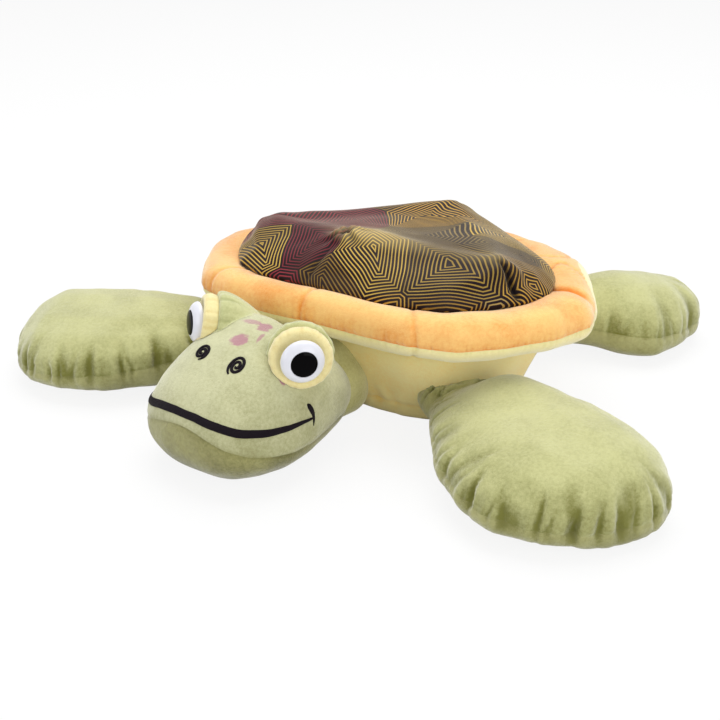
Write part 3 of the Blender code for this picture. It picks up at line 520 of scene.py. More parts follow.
# The rim: a fat stuffed roll round the shell, orange plush above and cream plush below, turned and sewn
# along its outer edge. Cross seams divide the orange panel, and one of them pinches it by the left flipper.
RIM_SEAM_DROP = 0.0042
RIM_CROSS_SEAMS = (-95.0, -53.0, 62.0, 118.0, 180.0, 227.0)
RIM_CROSS_DEPTH = 0.0010
RIM_CROSS_WIDTH = 0.0018
RIM_PINCH = 1.3
RIM_PINCH_DEPTH = 0.0046
RIM_PINCH_WIDTH = 0.0040
RIM_PUFF = 0.0046
RIM_PUFF_AT = 27.0
RIM_PUFF_OVER = 15.0
SHELL_MIDDLE = (sum(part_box("shell_cover"), Vector()) / 2.0).xy.to_3d()
SHELL_DRAW = 0.0110
SHELL_DRAW_AT = 42.0
SHELL_DRAW_OVER = 25.0
RIM_SEAM_LIFT = 0.0210
RIM_LIFT_AT = 25.0
RIM_LIFT_OVER = 21.0
ORANGE = plush("orange_plush", linear(252, 202, 125), linear(232, 136, 48), 2.0, drift=0.38)
STRIP = plush("rolled_edge_plush", linear(248, 236, 180), linear(226, 208, 136), 3.0)
rim_form = soft_form(0.0030, "rim_padding", "rim_top", "rim_underside")
rim_middle, rim_up = seam_plane("rim_top", "rim_underside")
rim_plane = (rim_middle - rim_up * RIM_SEAM_DROP, rim_up)


def round_shell(rows):
    """Each place's distance from the shell's middle in plan, and its bearing there in degrees."""
    x, y = rows[:, 0] - SHELL_MIDDLE.x, rows[:, 1] - SHELL_MIDDLE.y
    return np.hypot(x, y), np.degrees(np.arctan2(y, x))


def off_bearing(turn, angle):
    """How many degrees a bearing is from an angle."""
    return (turn - angle + 180.0) % 360.0 - 180.0


def reach_of(node):
    """How far a CAD cover reaches from the shell's middle, for each bearing."""
    far, turn = round_shell(places(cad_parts[node].data))
    bearings = np.arange(-180.0, 180.0, 15.0)
    return bearings, [far[np.abs(off_bearing(turn, bearing)) < 14.0].max() for bearing in bearings]


def bump_at(distance, width):
    """1 at a distance of 0, and smoothly down to nothing within a few widths."""
    return np.exp(-((distance / width) ** 2))


def smooth_step(value, low, high):
    """0 below low, 1 above high, and smooth between them."""
    share = np.clip((value - low) / (high - low), 0.0, 1.0)
    return share * share * (3.0 - 2.0 * share)


DOME_REACH = reach_of("shell_cover")
RIM_REACH = reach_of("rim_top")


def rim_share(rows):
    """0 at the inner edge of the rim, 1 at its outer edge, and below 0 on the dome."""
    far, turn = round_shell(rows)
    inner = np.interp(turn, *DOME_REACH, period=360.0)
    return (far - inner) / (np.interp(turn, *RIM_REACH, period=360.0) - inner)


def drawn_in(rows):
    """Draws dome and rim together towards the middle behind the left flipper, where the dart is tight."""
    far, turn = round_shell(rows)
    foot = np.interp(turn, *DOME_REACH, period=360.0)
    share = np.where(far < foot, (far / foot) ** 2, np.clip(1.0 - rim_share(rows), 0.0, 1.0))
    move = SHELL_DRAW * bump_at(off_bearing(turn, SHELL_DRAW_AT), SHELL_DRAW_OVER) * share
    return (1.0 - move / np.maximum(far, 0.001))[:, None] * (rows - np.array(SHELL_MIDDLE)) * (1.0, 1.0, 0.0) + (
        np.array(SHELL_MIDDLE) + rows * (0.0, 0.0, 1.0)
    )


def rim_lift(rows):
    """How much higher than its plane the rim's seam runs, behind the left flipper."""
    return RIM_SEAM_LIFT * bump_at(off_bearing(round_shell(rows)[1], RIM_LIFT_AT), RIM_LIFT_OVER)


def levelled(mesh, lift, sign):
    """Lowers a seam that runs out of its plane on to that plane, or puts it back."""
    rows = places(mesh)
    rows[:, 2] -= sign * lift(rows)
    mesh.vertices.foreach_set("co", rows.astype(np.float32).ravel())
    mesh.update()
    return mesh


def curved_half(mesh, plane, lift, side, name):
    """The part of a form above or below a seam that runs out of its plane."""
    return levelled(half(levelled(mesh.copy(), lift, 1.0), plane, side, name), lift, -1.0)


put(rim_form, drawn_in(places(rim_form)))
rim_seam = seam_on(levelled(rim_form, rim_lift, 1.0), rim_plane)
levelled(rim_form, rim_lift, -1.0)
rim_rows = places(rim_form)
rim_far, rim_turn = round_shell(rim_rows)
rim_fold = groove(rim_seam, 0.0009, 0.0018) + gathers(rim_seam, 0.030, 0.0006, 0.018, 21)
for angle in RIM_CROSS_SEAMS:
    rim_fold -= RIM_CROSS_DEPTH * bump_at(np.radians(off_bearing(rim_turn, angle)) * rim_far, RIM_CROSS_WIDTH)
pinch = np.radians(off_bearing(rim_turn, RIM_PINCH)) * rim_far
pinched = bump_at(pinch, RIM_PINCH_WIDTH) * (1.0 - smooth_step(rim_share(rim_rows), 0.25, 0.95))
rim_fold -= RIM_PINCH_DEPTH * pinched
rim_puff = RIM_PUFF * bump_at(off_bearing(rim_turn, RIM_PUFF_AT), RIM_PUFF_OVER)
rim_puff += 0.0016 * bump_at(pinch + 0.016, 0.0120)
rim_puff += lumps(rim_form, 0.040, 0.0016, 2)
pressed(rim_form, rim_fold + rim_puff, rim_fold)
piece_of(
    "rim_top_cover", curved_half(rim_form, rim_plane, rim_lift, 1.0, "rim_top_cover"), ORANGE, "orange_plush",
    "body", "rim_top", "rim_padding", fill=0.8,
)
piece_of(
    "rim_underside_cover", curved_half(rim_form, rim_plane, rim_lift, -1.0, "rim_underside_cover"), STRIP,
    "cream_plush", "body", "rim_underside", fill=0.8,
)


# The shell: printed cloth over a stuffed dome, sewn to the inside of the rim. Four darts shape it, and their
# tips stand up as corners. The print is a turtle's own scutes, filled with growth rings on a dark ground.
FRONT_TIP = np.array((-0.0125, -0.0290))
LEFT_TIP = np.array((0.1060, -0.0080))
RIGHT_TIP = np.array((-0.1120, -0.0085))
REAR_TIP = np.array((0.0060, 0.0980))
DOME_CENTRE = np.array((0.0, 0.030))
RIDGES = ((FRONT_TIP, LEFT_TIP), (FRONT_TIP, RIGHT_TIP), (LEFT_TIP, REAR_TIP), (RIGHT_TIP, REAR_TIP))
# Each dart: its tip, how far the tip stands up, and how deep the dart draws the cloth in below it
DARTS = (
    (FRONT_TIP, 0.0014, 0.0014),
    (LEFT_TIP, 0.0030, 0.0042),
    (RIGHT_TIP, -0.0012, 0.0020),
    (REAR_TIP, 0.0020, 0.0020),
)
DART_LENGTH = 0.060
FOOT_SPREAD = 0.0048
CROWN_SAG = 0.0026
KNOT_DEPTH = 0.0042
shell_form = soft_form(0.0026, "shell_stuffing", "shell_cover", rounds=22)
dome_foot = Vector((0.0, SHELL_MIDDLE.y - 0.117, 0.1006))


def beside(rows, start, stop):
    """The distance in plan from each place to a line, and how far along the line that is."""
    run = stop - start
    offset = rows[:, :2] - start
    along = offset @ run / (run @ run)
    near = np.clip(along, 0.0, 1.0)[:, None] * run
    return np.hypot(*(offset - near).T), along


dome_rows = places(shell_form)
above = (dome_rows - np.array(dome_foot)) @ np.array(rim_up)
outwards = dome_rows - np.array(SHELL_MIDDLE)
outwards[:, 2] = 0.0
outwards /= np.maximum(np.linalg.norm(outwards, axis=1), 0.001)[:, None]
seated = smooth_step(above, -0.020, -0.004) * (1.0 - smooth_step(above, 0.000, 0.014))
dome_rows += outwards * (FOOT_SPREAD * seated)[:, None]
on_top = smooth_step(above, 0.008, 0.020)
raised = np.zeros(len(dome_rows))
for start, stop in RIDGES:
    away, along = beside(dome_rows, start, stop)
    middle = np.sin(math.pi * np.clip(along, 0.0, 1.0))
    raised = np.maximum(raised, (0.0022 + 0.0014 * middle) * bump_at(away, 0.013))
for tip, height, _ in DARTS:
    raised += height * bump_at(np.hypot(*(dome_rows[:, :2] - tip).T), 0.011)
raised -= CROWN_SAG * bump_at(np.hypot(*(dome_rows[:, :2] - DOME_CENTRE).T), 0.045)
dome_rows[:, 2] += raised * on_top
dome_rows = drawn_in(dome_rows)
put(shell_form, dome_rows)

dart_fold = np.zeros(len(dome_rows))
dart_puff = np.zeros(len(dome_rows))
for tip, _, depth in DARTS:
    outside = tip + (tip - DOME_CENTRE) / np.linalg.norm(tip - DOME_CENTRE) * DART_LENGTH
    away, along = beside(dome_rows, tip, outside)
    reach = smooth_step(along, -0.05, 0.12) * smooth_step(above, 0.001, 0.008)
    dart_fold -= depth * bump_at(away, 0.0024) * reach
    dart_puff += 0.35 * depth * bump_at(away - 0.008, 0.005) * reach
knot = dome_rows[:, :2] - FRONT_TIP
knot_away = np.hypot(*knot.T)
knot_turn = np.arctan2(knot[:, 1], knot[:, 0])
dart_fold -= KNOT_DEPTH * bump_at(knot_away, 0.0034) * on_top
dart_puff += 0.0018 * bump_at(knot_away - 0.0080, 0.0036) * on_top
pleats = np.minimum(np.cos(7.0 * knot_turn + 1.0) + 0.5 * np.cos(4.0 * knot_turn), 0.3)
dart_fold += 0.0012 * pleats * bump_at(knot_away - 0.010, 0.009) * on_top
pressed(shell_form, dart_fold + dart_puff + lumps(shell_form, 0.045, 0.0020, 3), dart_fold)


DOME_TOP = 0.150
PRINT_SCALE = 14.0
PRINT_PITCH = 0.0036
PRINT_SPREAD = 0.80


def shell_print():
    """Cloth printed with scutes and their growth rings, laid over the dome from its middle outwards; a painted glare
    pales its crown and painted shade darkens its folds.
    """
    made, place = blank("shell_print")
    level = place.node("ShaderNodeVectorMath", {0: place, 1: (1.0, 1.0, 0.0)}, operation="MULTIPLY")
    far = place.node("ShaderNodeVectorMath", {0: level}, output="Value", operation="LENGTH")
    height = place.node("ShaderNodeSeparateXYZ", {0: place}, output="Z")
    spread = (DOME_TOP - height) * PRINT_SPREAD / far.maths("MAXIMUM", far, 0.02) + 1.0
    flat = place.node("ShaderNodeVectorMath", {0: level, "Scale": spread}, operation="SCALE")
    bent = place.node("ShaderNodeTexNoise", {"Vector": flat, "Scale": 14.0, "Detail": 1.0}, output="Color")
    bent = place.node("ShaderNodeVectorMath", {0: bent, "Scale": 0.010}, operation="SCALE")
    flat = place.node("ShaderNodeVectorMath", {0: flat, 1: bent}, operation="ADD")
    cells = {"Vector": flat, "Scale": PRINT_SCALE, "Randomness": 0.72}
    edge, own = [
        place.node("ShaderNodeTexVoronoi", cells, output=output, feature=feature, voronoi_dimensions="2D")
        for output, feature in (("Distance", "DISTANCE_TO_EDGE"), ("Color", "F1"))
    ]
    pick = place.node("ShaderNodeSeparateColor", {"Color": own})
    thin = place.node("ShaderNodeSeparateColor", {"Color": own}, output=1)
    wave = place.maths("PINGPONG", edge / (PRINT_SCALE * PRINT_PITCH), 0.5) * 2.0
    line = wave.band(0.56, 0.76) * edge.band(0.012, 0.022)
    ink = pick.node(
        "ShaderNodeValToRGB",
        {"Fac": pick},
        stops=[
            (0.00, linear(186, 146, 66)),
            (0.36, linear(142, 54, 62)),
            (0.50, linear(192, 158, 74)),
            (0.76, linear(158, 134, 80)),
        ],
    )
    ink.socket.node.color_ramp.interpolation = "CONSTANT"
    worn = place.node("ShaderNodeTexNoise", {"Vector": place, "Scale": 20.0, "Detail": 2.0}).band(0.42, 0.66)
    faint = thin.band(0.35, 0.80) * 0.40 + worn * 0.28
    fold_shade = place.node("ShaderNodeAttribute", {}, output="Fac", attribute_name="fold_shade")
    ground = worn.blend(linear(26, 12, 20), linear(42, 32, 30))
    colour = (line * (1.0 - faint)).blend(ground, ink)
    # Painted highlight: the print is paled towards the top of the dome, standing in for the glare of the light on
    # its crown.
    colour = (height.band(0.125, 0.136) * 0.34).blend(colour, linear(232, 208, 146))
    # Painted shade: the print is darkened nearly to black in the folds of the darts and the knot.
    colour = (fold_shade * 0.85).blend(colour, linear(16, 8, 14))
    weave = place.node("ShaderNodeTexNoise", {"Vector": place, "Scale": 1300.0, "Detail": 2.0})
    bump = place.node("ShaderNodeBump", {"Strength": 0.25, "Distance": 0.0006, "Height": weave})
    return applied(
        made,
        {"Base Color": colour, "Normal": bump},
        {
            "Roughness": 0.55,
            "Specular IOR Level": 0.12,
            "Sheen Weight": 0.45,
            "Sheen Roughness": 0.30,
            "Sheen Tint": (*linear(250, 238, 214), 1.0),
        },
    )


piece_of("shell_cloth", shell_form, shell_print(), "shell_print", "body", "shell_cover", "shell_stuffing", fill=0.7)


# The tail: a short stuffed cone of green plush, sewn to the wall under the back of the rim.
# The last number is the height below which painted shade darkens this plush towards the table.
GREEN = plush("pale_green_plush", linear(193, 193, 138), linear(116, 116, 56), 4.0, 0.056)
tail_form = soft_form(0.0020, "tail_stuffing", "tail_cover", rounds=60)
pressed(tail_form, lumps(tail_form, 0.020, 0.0008, 4))
piece_of("tail_plush", tail_form, GREEN, "pale_green_plush", "body", "tail_cover", "tail_stuffing", fill=0.8)


# The neck: a short stuffed tube of darker plush, wide and flat below, that runs from a hollow in the wall
# to the back of the head.
NECK = Vector((-0.0060, -0.0660, 0.0))
HEAD_TURN = math.radians(-4.0)
HEAD_FORWARD = Vector((math.sin(HEAD_TURN), -math.cos(HEAD_TURN), 0.0))
HEAD_SIDE = Vector((math.cos(HEAD_TURN), math.sin(HEAD_TURN), 0.0))
UP = Vector((0.0, 0.0, 1.0))
OLIVE = plush("olive_plush", linear(214, 211, 152), linear(162, 158, 98), 5.0)
# How far forward, half width, underside, height of the widest part, top
NECK_SECTIONS = (
    (-0.0260, 0.0130, 0.0150, 0.0300, 0.0440),
    (-0.0220, 0.0230, 0.0070, 0.0270, 0.0540),
    (-0.0120, 0.0325, 0.0010, 0.0220, 0.0600),
    (0.0000, 0.0370, 0.0000, 0.0200, 0.0620),
    (0.0120, 0.0370, 0.0000, 0.0200, 0.0630),
    (0.0240, 0.0330, 0.0010, 0.0220, 0.0620),
    (0.0330, 0.0240, 0.0070, 0.0280, 0.0560),
    (0.0370, 0.0130, 0.0150, 0.0320, 0.0470),
)
NECK_COLUMNS = 40


def in_head(side, forward, height):
    """A place by how far it is to the head's left and in front of the neck, and its height."""
    return NECK + HEAD_SIDE * side + HEAD_FORWARD * forward + UP * height


def sleeve(name, columns, frames, squeezes=None):
    """A closed tube through rings, each a unit circle put in a frame, with its upper half squeezed or drawn out."""
    form = bmesh.new()
    before = None
    for number, ring_frame in enumerate(frames):
        ring = bmesh.ops.create_circle(form, segments=columns, radius=1.0)["verts"]
        if squeezes:
            bmesh.ops.scale(form, vec=(1.0, squeezes[number], 1.0), verts=[v for v in ring if v.co.y > 0.0])
        bmesh.ops.transform(form, matrix=ring_frame, verts=ring)
        loop = list({edge for vertex in ring for edge in vertex.link_edges})
        if before:
            bmesh.ops.bridge_loops(form, edges=before + loop)
        else:
            first = loop
        before = loop
    bmesh.ops.edgeloop_fill(form, edges=first)
    bmesh.ops.edgeloop_fill(form, edges=before)
    bmesh.ops.recalc_face_normals(form, faces=form.faces)
    made = bpy.data.meshes.new(name)
    form.to_mesh(made)
    form.free()
    return made


def ring_at(across, over, ahead, middle):
    """The frame of a ring: its half width, its half height and the way it faces."""
    return Matrix.Translation(middle) @ Matrix((across, over, ahead)).transposed().to_4x4()


neck_frames = [
    ring_at(HEAD_SIDE * width, UP * (middle - low), HEAD_FORWARD, in_head(0.0, forward, middle))
    for forward, width, low, middle, top in NECK_SECTIONS
]
neck_squeezes = [(top - middle) / (middle - low) for _, _, low, middle, top in NECK_SECTIONS]
neck_tube = sleeve("neck_cover", NECK_COLUMNS, neck_frames, neck_squeezes)
neck_form = worked(neck_tube, "SUBSURF", levels=2, render_levels=2)
pressed(neck_form, lumps(neck_form, 0.022, 0.0016, 5))
piece_of("neck_plush", neck_form, OLIVE, "olive_plush", "neck", "neck_cover", "neck_stuffing", fill=0.8)


# The head: pale green plush above and a darker jaw panel below. The seam between them arches up round the
# front of the muzzle and runs low along the cheeks. Soft mauve spots are printed on top of the muzzle.
MUZZLE_FORWARD = 0.0850
SEAM_LOW = 0.0265
SEAM_ARCH = 0.0195
SEAM_SPREAD = math.radians(45.0)
JAW_CUT = (Vector((0.0, 0.0, SEAM_LOW)), UP)
# Where the brow swells: how far to the head's left and forwards, how wide, and how high
BROW = (-0.012, 0.060, 0.018, 0.0035)
# Where the head bulges more than its pattern: how far to its left and forwards, how wide, at what height and
# how tall, then how far it goes, and which share of that goes to the left and forwards
HEAD_BULGES = (
    (-0.050, 0.105, 0.030, 0.028, 0.022, 0.0035, -0.80, 0.60),
    (0.040, 0.028, 0.028, 0.042, 0.030, 0.0060, 0.77, -0.64),
)
head_form = soft_form(0.0026, "head_stuffing", "head_cover", "jaw_cover", rounds=26)


def head_shares(rows):
    """Each place's distance to the head's left and in front of the neck."""
    offset = rows - np.array(NECK)
    return offset @ np.array(HEAD_SIDE), offset @ np.array(HEAD_FORWARD)


def seam_lift(rows):
    """How much higher than along the cheeks the jaw seam runs at each place."""
    side, forward = head_shares(rows)
    turn = np.arctan2(np.abs(side), forward - MUZZLE_FORWARD)
    return SEAM_ARCH * np.exp(-((turn / SEAM_SPREAD) ** 2))


head_rows = places(head_form)
head_left, head_ahead = head_shares(head_rows)
brow = bump_at(np.hypot(head_left - BROW[0], head_ahead - BROW[1]), BROW[2])
head_rows[:, 2] += BROW[3] * brow * smooth_step(head_rows[:, 2], 0.070, 0.085)
for side, forward, wide, height, tall, far, leftwards, onwards in HEAD_BULGES:
    share = bump_at(np.hypot(head_left - side, head_ahead - forward), wide) * bump_at(head_rows[:, 2] - height, tall)
    head_rows += far * share[:, None] * (leftwards * np.array(HEAD_SIDE) + onwards * np.array(HEAD_FORWARD))
put(head_form, head_rows)
jaw_seam = seam_on(levelled(head_form, seam_lift, 1.0), JAW_CUT)
levelled(head_form, seam_lift, -1.0)
jaw_fold = groove(jaw_seam, 0.0006, 0.0016)
pressed(head_form, jaw_fold + lumps(head_form, 0.035, 0.0014, 6), jaw_fold)
head_tree = BVHTree.FromPolygons([v.co for v in head_form.vertices], [p.vertices for p in head_form.polygons])

# Each spot: to the left, forwards, half its length across, half its length along, how far it turns, its strength
SPOTS = (
    (0.0032, 0.0903, 0.0076, 0.0052, 0.4, 1.0),
    (0.0075, 0.0700, 0.0048, 0.0068, 0.3, 1.0),
    (-0.0035, 0.0712, 0.0084, 0.0034, 0.2, 0.8),
    (0.0150, 0.0820, 0.0017, 0.0044, 0.1, 0.8),
    (0.0430, 0.0905, 0.0030, 0.0040, 0.4, 1.2),
    (-0.0430, 0.0905, 0.0030, 0.0040, -0.4, 1.2),
)


def spotted(name, pale, deep, seed):
    """The head's plush with soft-edged spots printed on it."""
    # 0.085 is the height below which painted shade darkens the head's plush.
    made = plush(name, pale, deep, seed, 0.085)
    ground = Wire(made.node_tree.nodes["Principled BSDF"].inputs["Base Color"].links[0].from_socket)
    place = Wire(made.node_tree.nodes.new("ShaderNodeTexCoord").outputs["Object"])
    ragged = place.node("ShaderNodeTexNoise", {"Vector": place, "Scale": 260.0, "Detail": 2.0}) - 0.5
    total = ragged * 0.0
    for side, forward, across, along, turn, strength in SPOTS:
        put_down = {
            "Vector": place,
            "Location": in_head(side, forward, 0.0),
            "Rotation": (0.0, 0.0, HEAD_TURN + turn),
            "Scale": (across, along, 1.0),
        }
        turned = place.node("ShaderNodeMapping", put_down, vector_type="TEXTURE")
        flat = place.node("ShaderNodeVectorMath", {0: turned, 1: (1.0, 1.0, 0.0)}, operation="MULTIPLY")
        reach = place.node("ShaderNodeVectorMath", {0: flat}, output="Value", operation="LENGTH")
        total = total + (1.0 - (reach + ragged * 1.1).band(0.70, 1.15)) * strength
    height = place.node("ShaderNodeSeparateXYZ", {0: place}, output="Z")
    total = total.maths("MINIMUM", total, 1.0) * height.band(0.060, 0.070)
    return applied(made, {"Base Color": (total * 0.88).blend(ground, linear(172, 116, 132))}, {})


HEAD_GREEN = spotted("head_plush", linear(201, 201, 160), linear(136, 134, 86), 6.0)
# 0.045 is the height below which painted shade darkens the jaw.
JAW_GREEN = plush("jaw_plush", linear(160, 157, 104), linear(72, 70, 26), 7.0, 0.045)
piece_of(
    "head_plush", curved_half(head_form, JAW_CUT, seam_lift, 1.0, "head_plush"), HEAD_GREEN, "pale_green_plush",
    "head", "head_cover", "head_stuffing", fill=0.8,
)
piece_of(
    "jaw_plush", curved_half(head_form, JAW_CUT, seam_lift, -1.0, "jaw_plush"), JAW_GREEN, "olive_plush", "head",
    "jaw_cover", fill=0.8,
)


# The eyes: each is a stuffed green mound behind a plump cream pad with gathered edges, and a domed white
# plastic eye on the pad. The black pupil sits in a recess of the white, and both are polished.
EYE_FORWARD = 0.0815
EYE_Z = 0.0870
PAD_RISE = 0.0006
PAD_HEIGHT_SHARE = 0.97
# Side, hand, how far to the side the plastic eye is and its pad, then how far the pad turns outwards and
# upwards, the same of the plastic eye, and how much the mound peaks
EYES = (
    ("left", 1.0, 0.0525, 0.0515, 44.0, 12.0, 54.0, 2.0, 0.0004),
    ("right", -1.0, 0.0454, 0.0444, 40.0, 12.0, 30.0, 8.0, 0.0014),
)
EYE_COLUMNS = 96
# Distance from the axis and height over the pad's face
PAD_PROFILE = (
    (0.0, -0.0110), (0.0100, -0.0110), (0.0178, -0.0110), (0.0206, -0.0096), (0.0217, -0.0066),
    (0.0218, -0.0036), (0.0210, -0.0008), (0.0194, 0.0008), (0.0174, 0.0010), (0.0157, 0.0002),
    (0.0140, -0.0004), (0.0, -0.0004),
)
MOUND_PROFILE = (
    (0.0, -0.0096), (0.0150, -0.0096), (0.0206, -0.0092), (0.0226, -0.0106), (0.0230, -0.0132),
    (0.0225, -0.0170), (0.0210, -0.0220), (0.0186, -0.0280), (0.0156, -0.0345), (0.0120, -0.0405),
    (0.0066, -0.0455), (0.0, -0.0475),
)
WHITE_RADIUS = 0.0150
WHITE_RIM = 0.0015
WHITE_DOME = 0.0070
PUPIL_RADIUS = 0.0089
PUPIL_DOME = 0.0013
PAD_CREAM = plush("eye_pad_plush", linear(240, 228, 170), linear(214, 190, 118), 9.0)
MOUND_GREEN = plush("eye_mound_plush", linear(204, 205, 152), linear(140, 146, 86), 10.0)


def polished(name, colour, roughness, specular):
    """Smooth moulded plastic."""
    made, place = blank(name)
    haze = place.node("ShaderNodeTexNoise", {"Vector": place, "Scale": 90.0, "Detail": 2.0})
    same_all_over = {"Base Color": (*colour, 1.0), "Specular IOR Level": specular}
    return applied(made, {"Roughness": haze * 0.04 + roughness}, same_all_over)


WHITE_PLASTIC = polished("white_plastic", linear(222, 223, 232), 0.10, 0.5)
BLACK_PLASTIC = polished("black_plastic", linear(8, 6, 9), 0.06, 0.05)


def lathe(name, profile, columns):
    """A solid turned about its own Z axis, from (radius, height) points that start and end on the axis."""
    form = bmesh.new()
    line = [form.verts.new((radius, 0.0, height)) for radius, height in profile]
    edges = [form.edges.new(ends) for ends in zip(line, line[1:])]
    bmesh.ops.spin(
        form, geom=line + edges, cent=(0.0, 0.0, 0.0), axis=(0.0, 0.0, 1.0), angle=math.tau, steps=columns,
        use_merge=True,
    )
    bmesh.ops.remove_doubles(form, verts=form.verts, dist=MERGE)
    bmesh.ops.recalc_face_normals(form, faces=form.faces)
    made = bpy.data.meshes.new(name)
    form.to_mesh(made)
    form.free()
    return made


def settled(mesh, gap):
    """Presses whatever lies inside the head back out on to its surface."""
    for vertex in mesh.vertices:
        place, normal, _, _ = head_tree.find_nearest(vertex.co)
        if (vertex.co - place).dot(normal) < gap:
            vertex.co = place + normal * gap
    mesh.update()


def gathered(mesh, strength, seed, top_push):
    """Draws a turned piece into soft irregular pleats round its edge, and keeps how deep each pleat is for painted
    shade in the material.
    """
    draw = random.Random(seed)
    waves = [(count, draw.uniform(0.0, math.tau), draw.uniform(0.4, 1.0)) for count in (7, 11, 17, 23)]
    rows = places(mesh)
    radius = np.hypot(rows[:, 0], rows[:, 1])
    turn = np.arctan2(rows[:, 1], rows[:, 0])
    pleat = sum(np.sin(count * turn + phase) * share for count, phase, share in waves) / len(waves)
    edge = smooth_step(radius, 0.016, 0.022)
    rows[:, 0] *= 1.0 + strength * pleat * edge
    rows[:, 1] *= 1.0 + strength * pleat * edge
    rows[:, 2] += 0.35 * strength * pleat * edge * radius
    rows[:, 1] += top_push * smooth_step(rows[:, 1], 0.0, 0.020) * smooth_step(radius, 0.012, 0.022)
    mesh.vertices.foreach_set("co", rows.astype(np.float32).ravel())
    mesh.update()
    # Painted shade: the pleats' hollows are darkened in the material by this share.
    fold_shade = mesh.attributes.new("fold_shade", "FLOAT", "POINT")
    fold_shade.data.foreach_set("value", (np.clip(-pleat * edge, 0.0, 1.0) * 0.8).astype(np.float32))


dome_steps = [math.radians(90.0) * step / 16 for step in range(16)]
crown = WHITE_RIM + WHITE_DOME * math.sqrt(1.0 - (PUPIL_RADIUS / WHITE_RADIUS) ** 2)
white_profile = [(0.0, 0.0003), (0.0140, 0.0003), (0.0148, 0.0006), (0.0150, 0.0011)]
white_profile += [(WHITE_RADIUS * math.cos(turn), WHITE_RIM + WHITE_DOME * math.sin(turn)) for turn in dome_steps]
white_profile = [point for point in white_profile if point[1] < crown or point[0] == 0.0]
white_profile += [(PUPIL_RADIUS + 0.0003, crown), (PUPIL_RADIUS + 0.0002, crown - 0.0009), (0.0, crown - 0.0009)]
pupil_profile = [(0.0, crown - 0.0007), (PUPIL_RADIUS, crown - 0.0007), (PUPIL_RADIUS, crown)]
pupil_profile += [(PUPIL_RADIUS * math.cos(turn), crown + PUPIL_DOME * math.sin(turn)) for turn in dome_steps[1:]]
pupil_profile += [(0.0, crown + PUPIL_DOME)]


def facing(hand, aside, splay, raised):
    """A frame on the head whose Z axis looks outwards by one angle and up by another."""
    look = Matrix.Rotation(hand * math.radians(splay), 3, "Z") @ HEAD_FORWARD
    look = look * math.cos(math.radians(raised)) + UP * math.sin(math.radians(raised))
    turned = look.to_track_quat("Z", "Y").to_matrix().to_4x4()
    return Matrix.Translation(in_head(hand * aside, EYE_FORWARD, EYE_Z)) @ turned


for side_name, hand, aside, pad_aside, pad_splay, pad_raise, eye_splay, eye_raise, top_push in EYES:
    pad_frame = facing(hand, pad_aside, pad_splay, pad_raise) @ Matrix.Translation((0.0, PAD_RISE, 0.0))
    mound = worked(lathe("eye_mound", MOUND_PROFILE, EYE_COLUMNS), "SUBSURF", levels=1, render_levels=1)
    gathered(mound, 0.040, 51 + hand, top_push)
    mound.transform(pad_frame)
    settled(mound, 0.0002)
    piece_of(
        "eye_mound_plush_" + side_name, mound, MOUND_GREEN, "pale_green_plush", "head",
        "eye_mound_" + side_name, "eye_mound_stuffing_" + side_name, fill=0.8,
    )
    pad = worked(lathe("eye_pad", PAD_PROFILE, EYE_COLUMNS), "SUBSURF", levels=1, render_levels=1)
    gathered(pad, 0.024, 61 + hand, 0.0)
    pad.transform(pad_frame @ Matrix.Diagonal((1.0, PAD_HEIGHT_SHARE, 1.0, 1.0)))
    settled(pad, 0.0004)
    piece_of("eye_pad_plush_" + side_name, pad, PAD_CREAM, "cream_plush", "head", "eye_pad_" + side_name, fill=0.8)
    eye_frame = facing(hand, aside, eye_splay, eye_raise)
    white = lathe("eye_white", white_profile, EYE_COLUMNS)
    white.transform(eye_frame)
    piece_of("eye_ball_" + side_name, white, WHITE_PLASTIC, "white_plastic", "head", "eye_white_" + side_name)
    pupil = lathe("eye_pupil", pupil_profile, EYE_COLUMNS)
    pupil.transform(eye_frame)
    piece_of("eye_black_" + side_name, pupil, BLACK_PLASTIC, "black_plastic", "head", "eye_pupil_" + side_name)


# The mouth and the nostrils: satin stitches of dark plum thread, sewn straight through the plush. The mouth
# is thickest in front and thins out to its corners, where a short tick crosses each end. The head's right
# corner hangs a little lower.
# Turn from straight ahead in degrees, height, half width
MOUTH_FORM = (
    (0.0, 0.0536, 0.0027), (10.0, 0.0536, 0.0028), (26.0, 0.0519, 0.0029), (40.0, 0.0492, 0.0029),
    (55.0, 0.0475, 0.0027), (72.0, 0.0463, 0.0022), (84.0, 0.0455, 0.0016), (94.0, 0.0449, 0.0010),
    (97.0, 0.0448, 0.0007),
)
MOUTH_STEPS = 140
MOUTH_SAG = 0.0036
# The same for the tick at each corner, from its top to its foot
TICK_FORM = (
    (94.5, 0.0555, 0.0006), (95.5, 0.0538, 0.0019), (96.8, 0.0510, 0.0021), (97.8, 0.0475, 0.0017),
    (97.6, 0.0440, 0.0011), (96.0, 0.0395, 0.0003),
)
TICK_STEPS = 30
STITCH_HEIGHT = 0.0008
BAND_COLUMNS = 12


def stitched(name, width):
    """Glossy thread, with stitches that lie side by side along the band."""
    made, place = blank(name)
    along = place.node("ShaderNodeAttribute", {}, output="Fac", attribute_name="along")
    loose = place.node("ShaderNodeTexNoise", {"Vector": place, "Scale": 900.0, "Detail": 2.0})
    lay = place.maths("SINE", (along + loose * width * 0.5) * (math.tau / width))
    bump = place.node("ShaderNodeBump", {"Strength": 0.6, "Distance": 0.0004, "Height": lay})
    # Painted highlight and shade: each stitch is lighter on its crest and darker where it meets the next.
    colour = lay.band(-1.0, 1.0).blend(linear(10, 5, 10), linear(34, 24, 34))
    return applied(made, {"Base Color": colour, "Normal": bump}, {"Roughness": 0.60, "Specular IOR Level": 0.12})


THREAD = stitched("dark_thread", 0.0007)


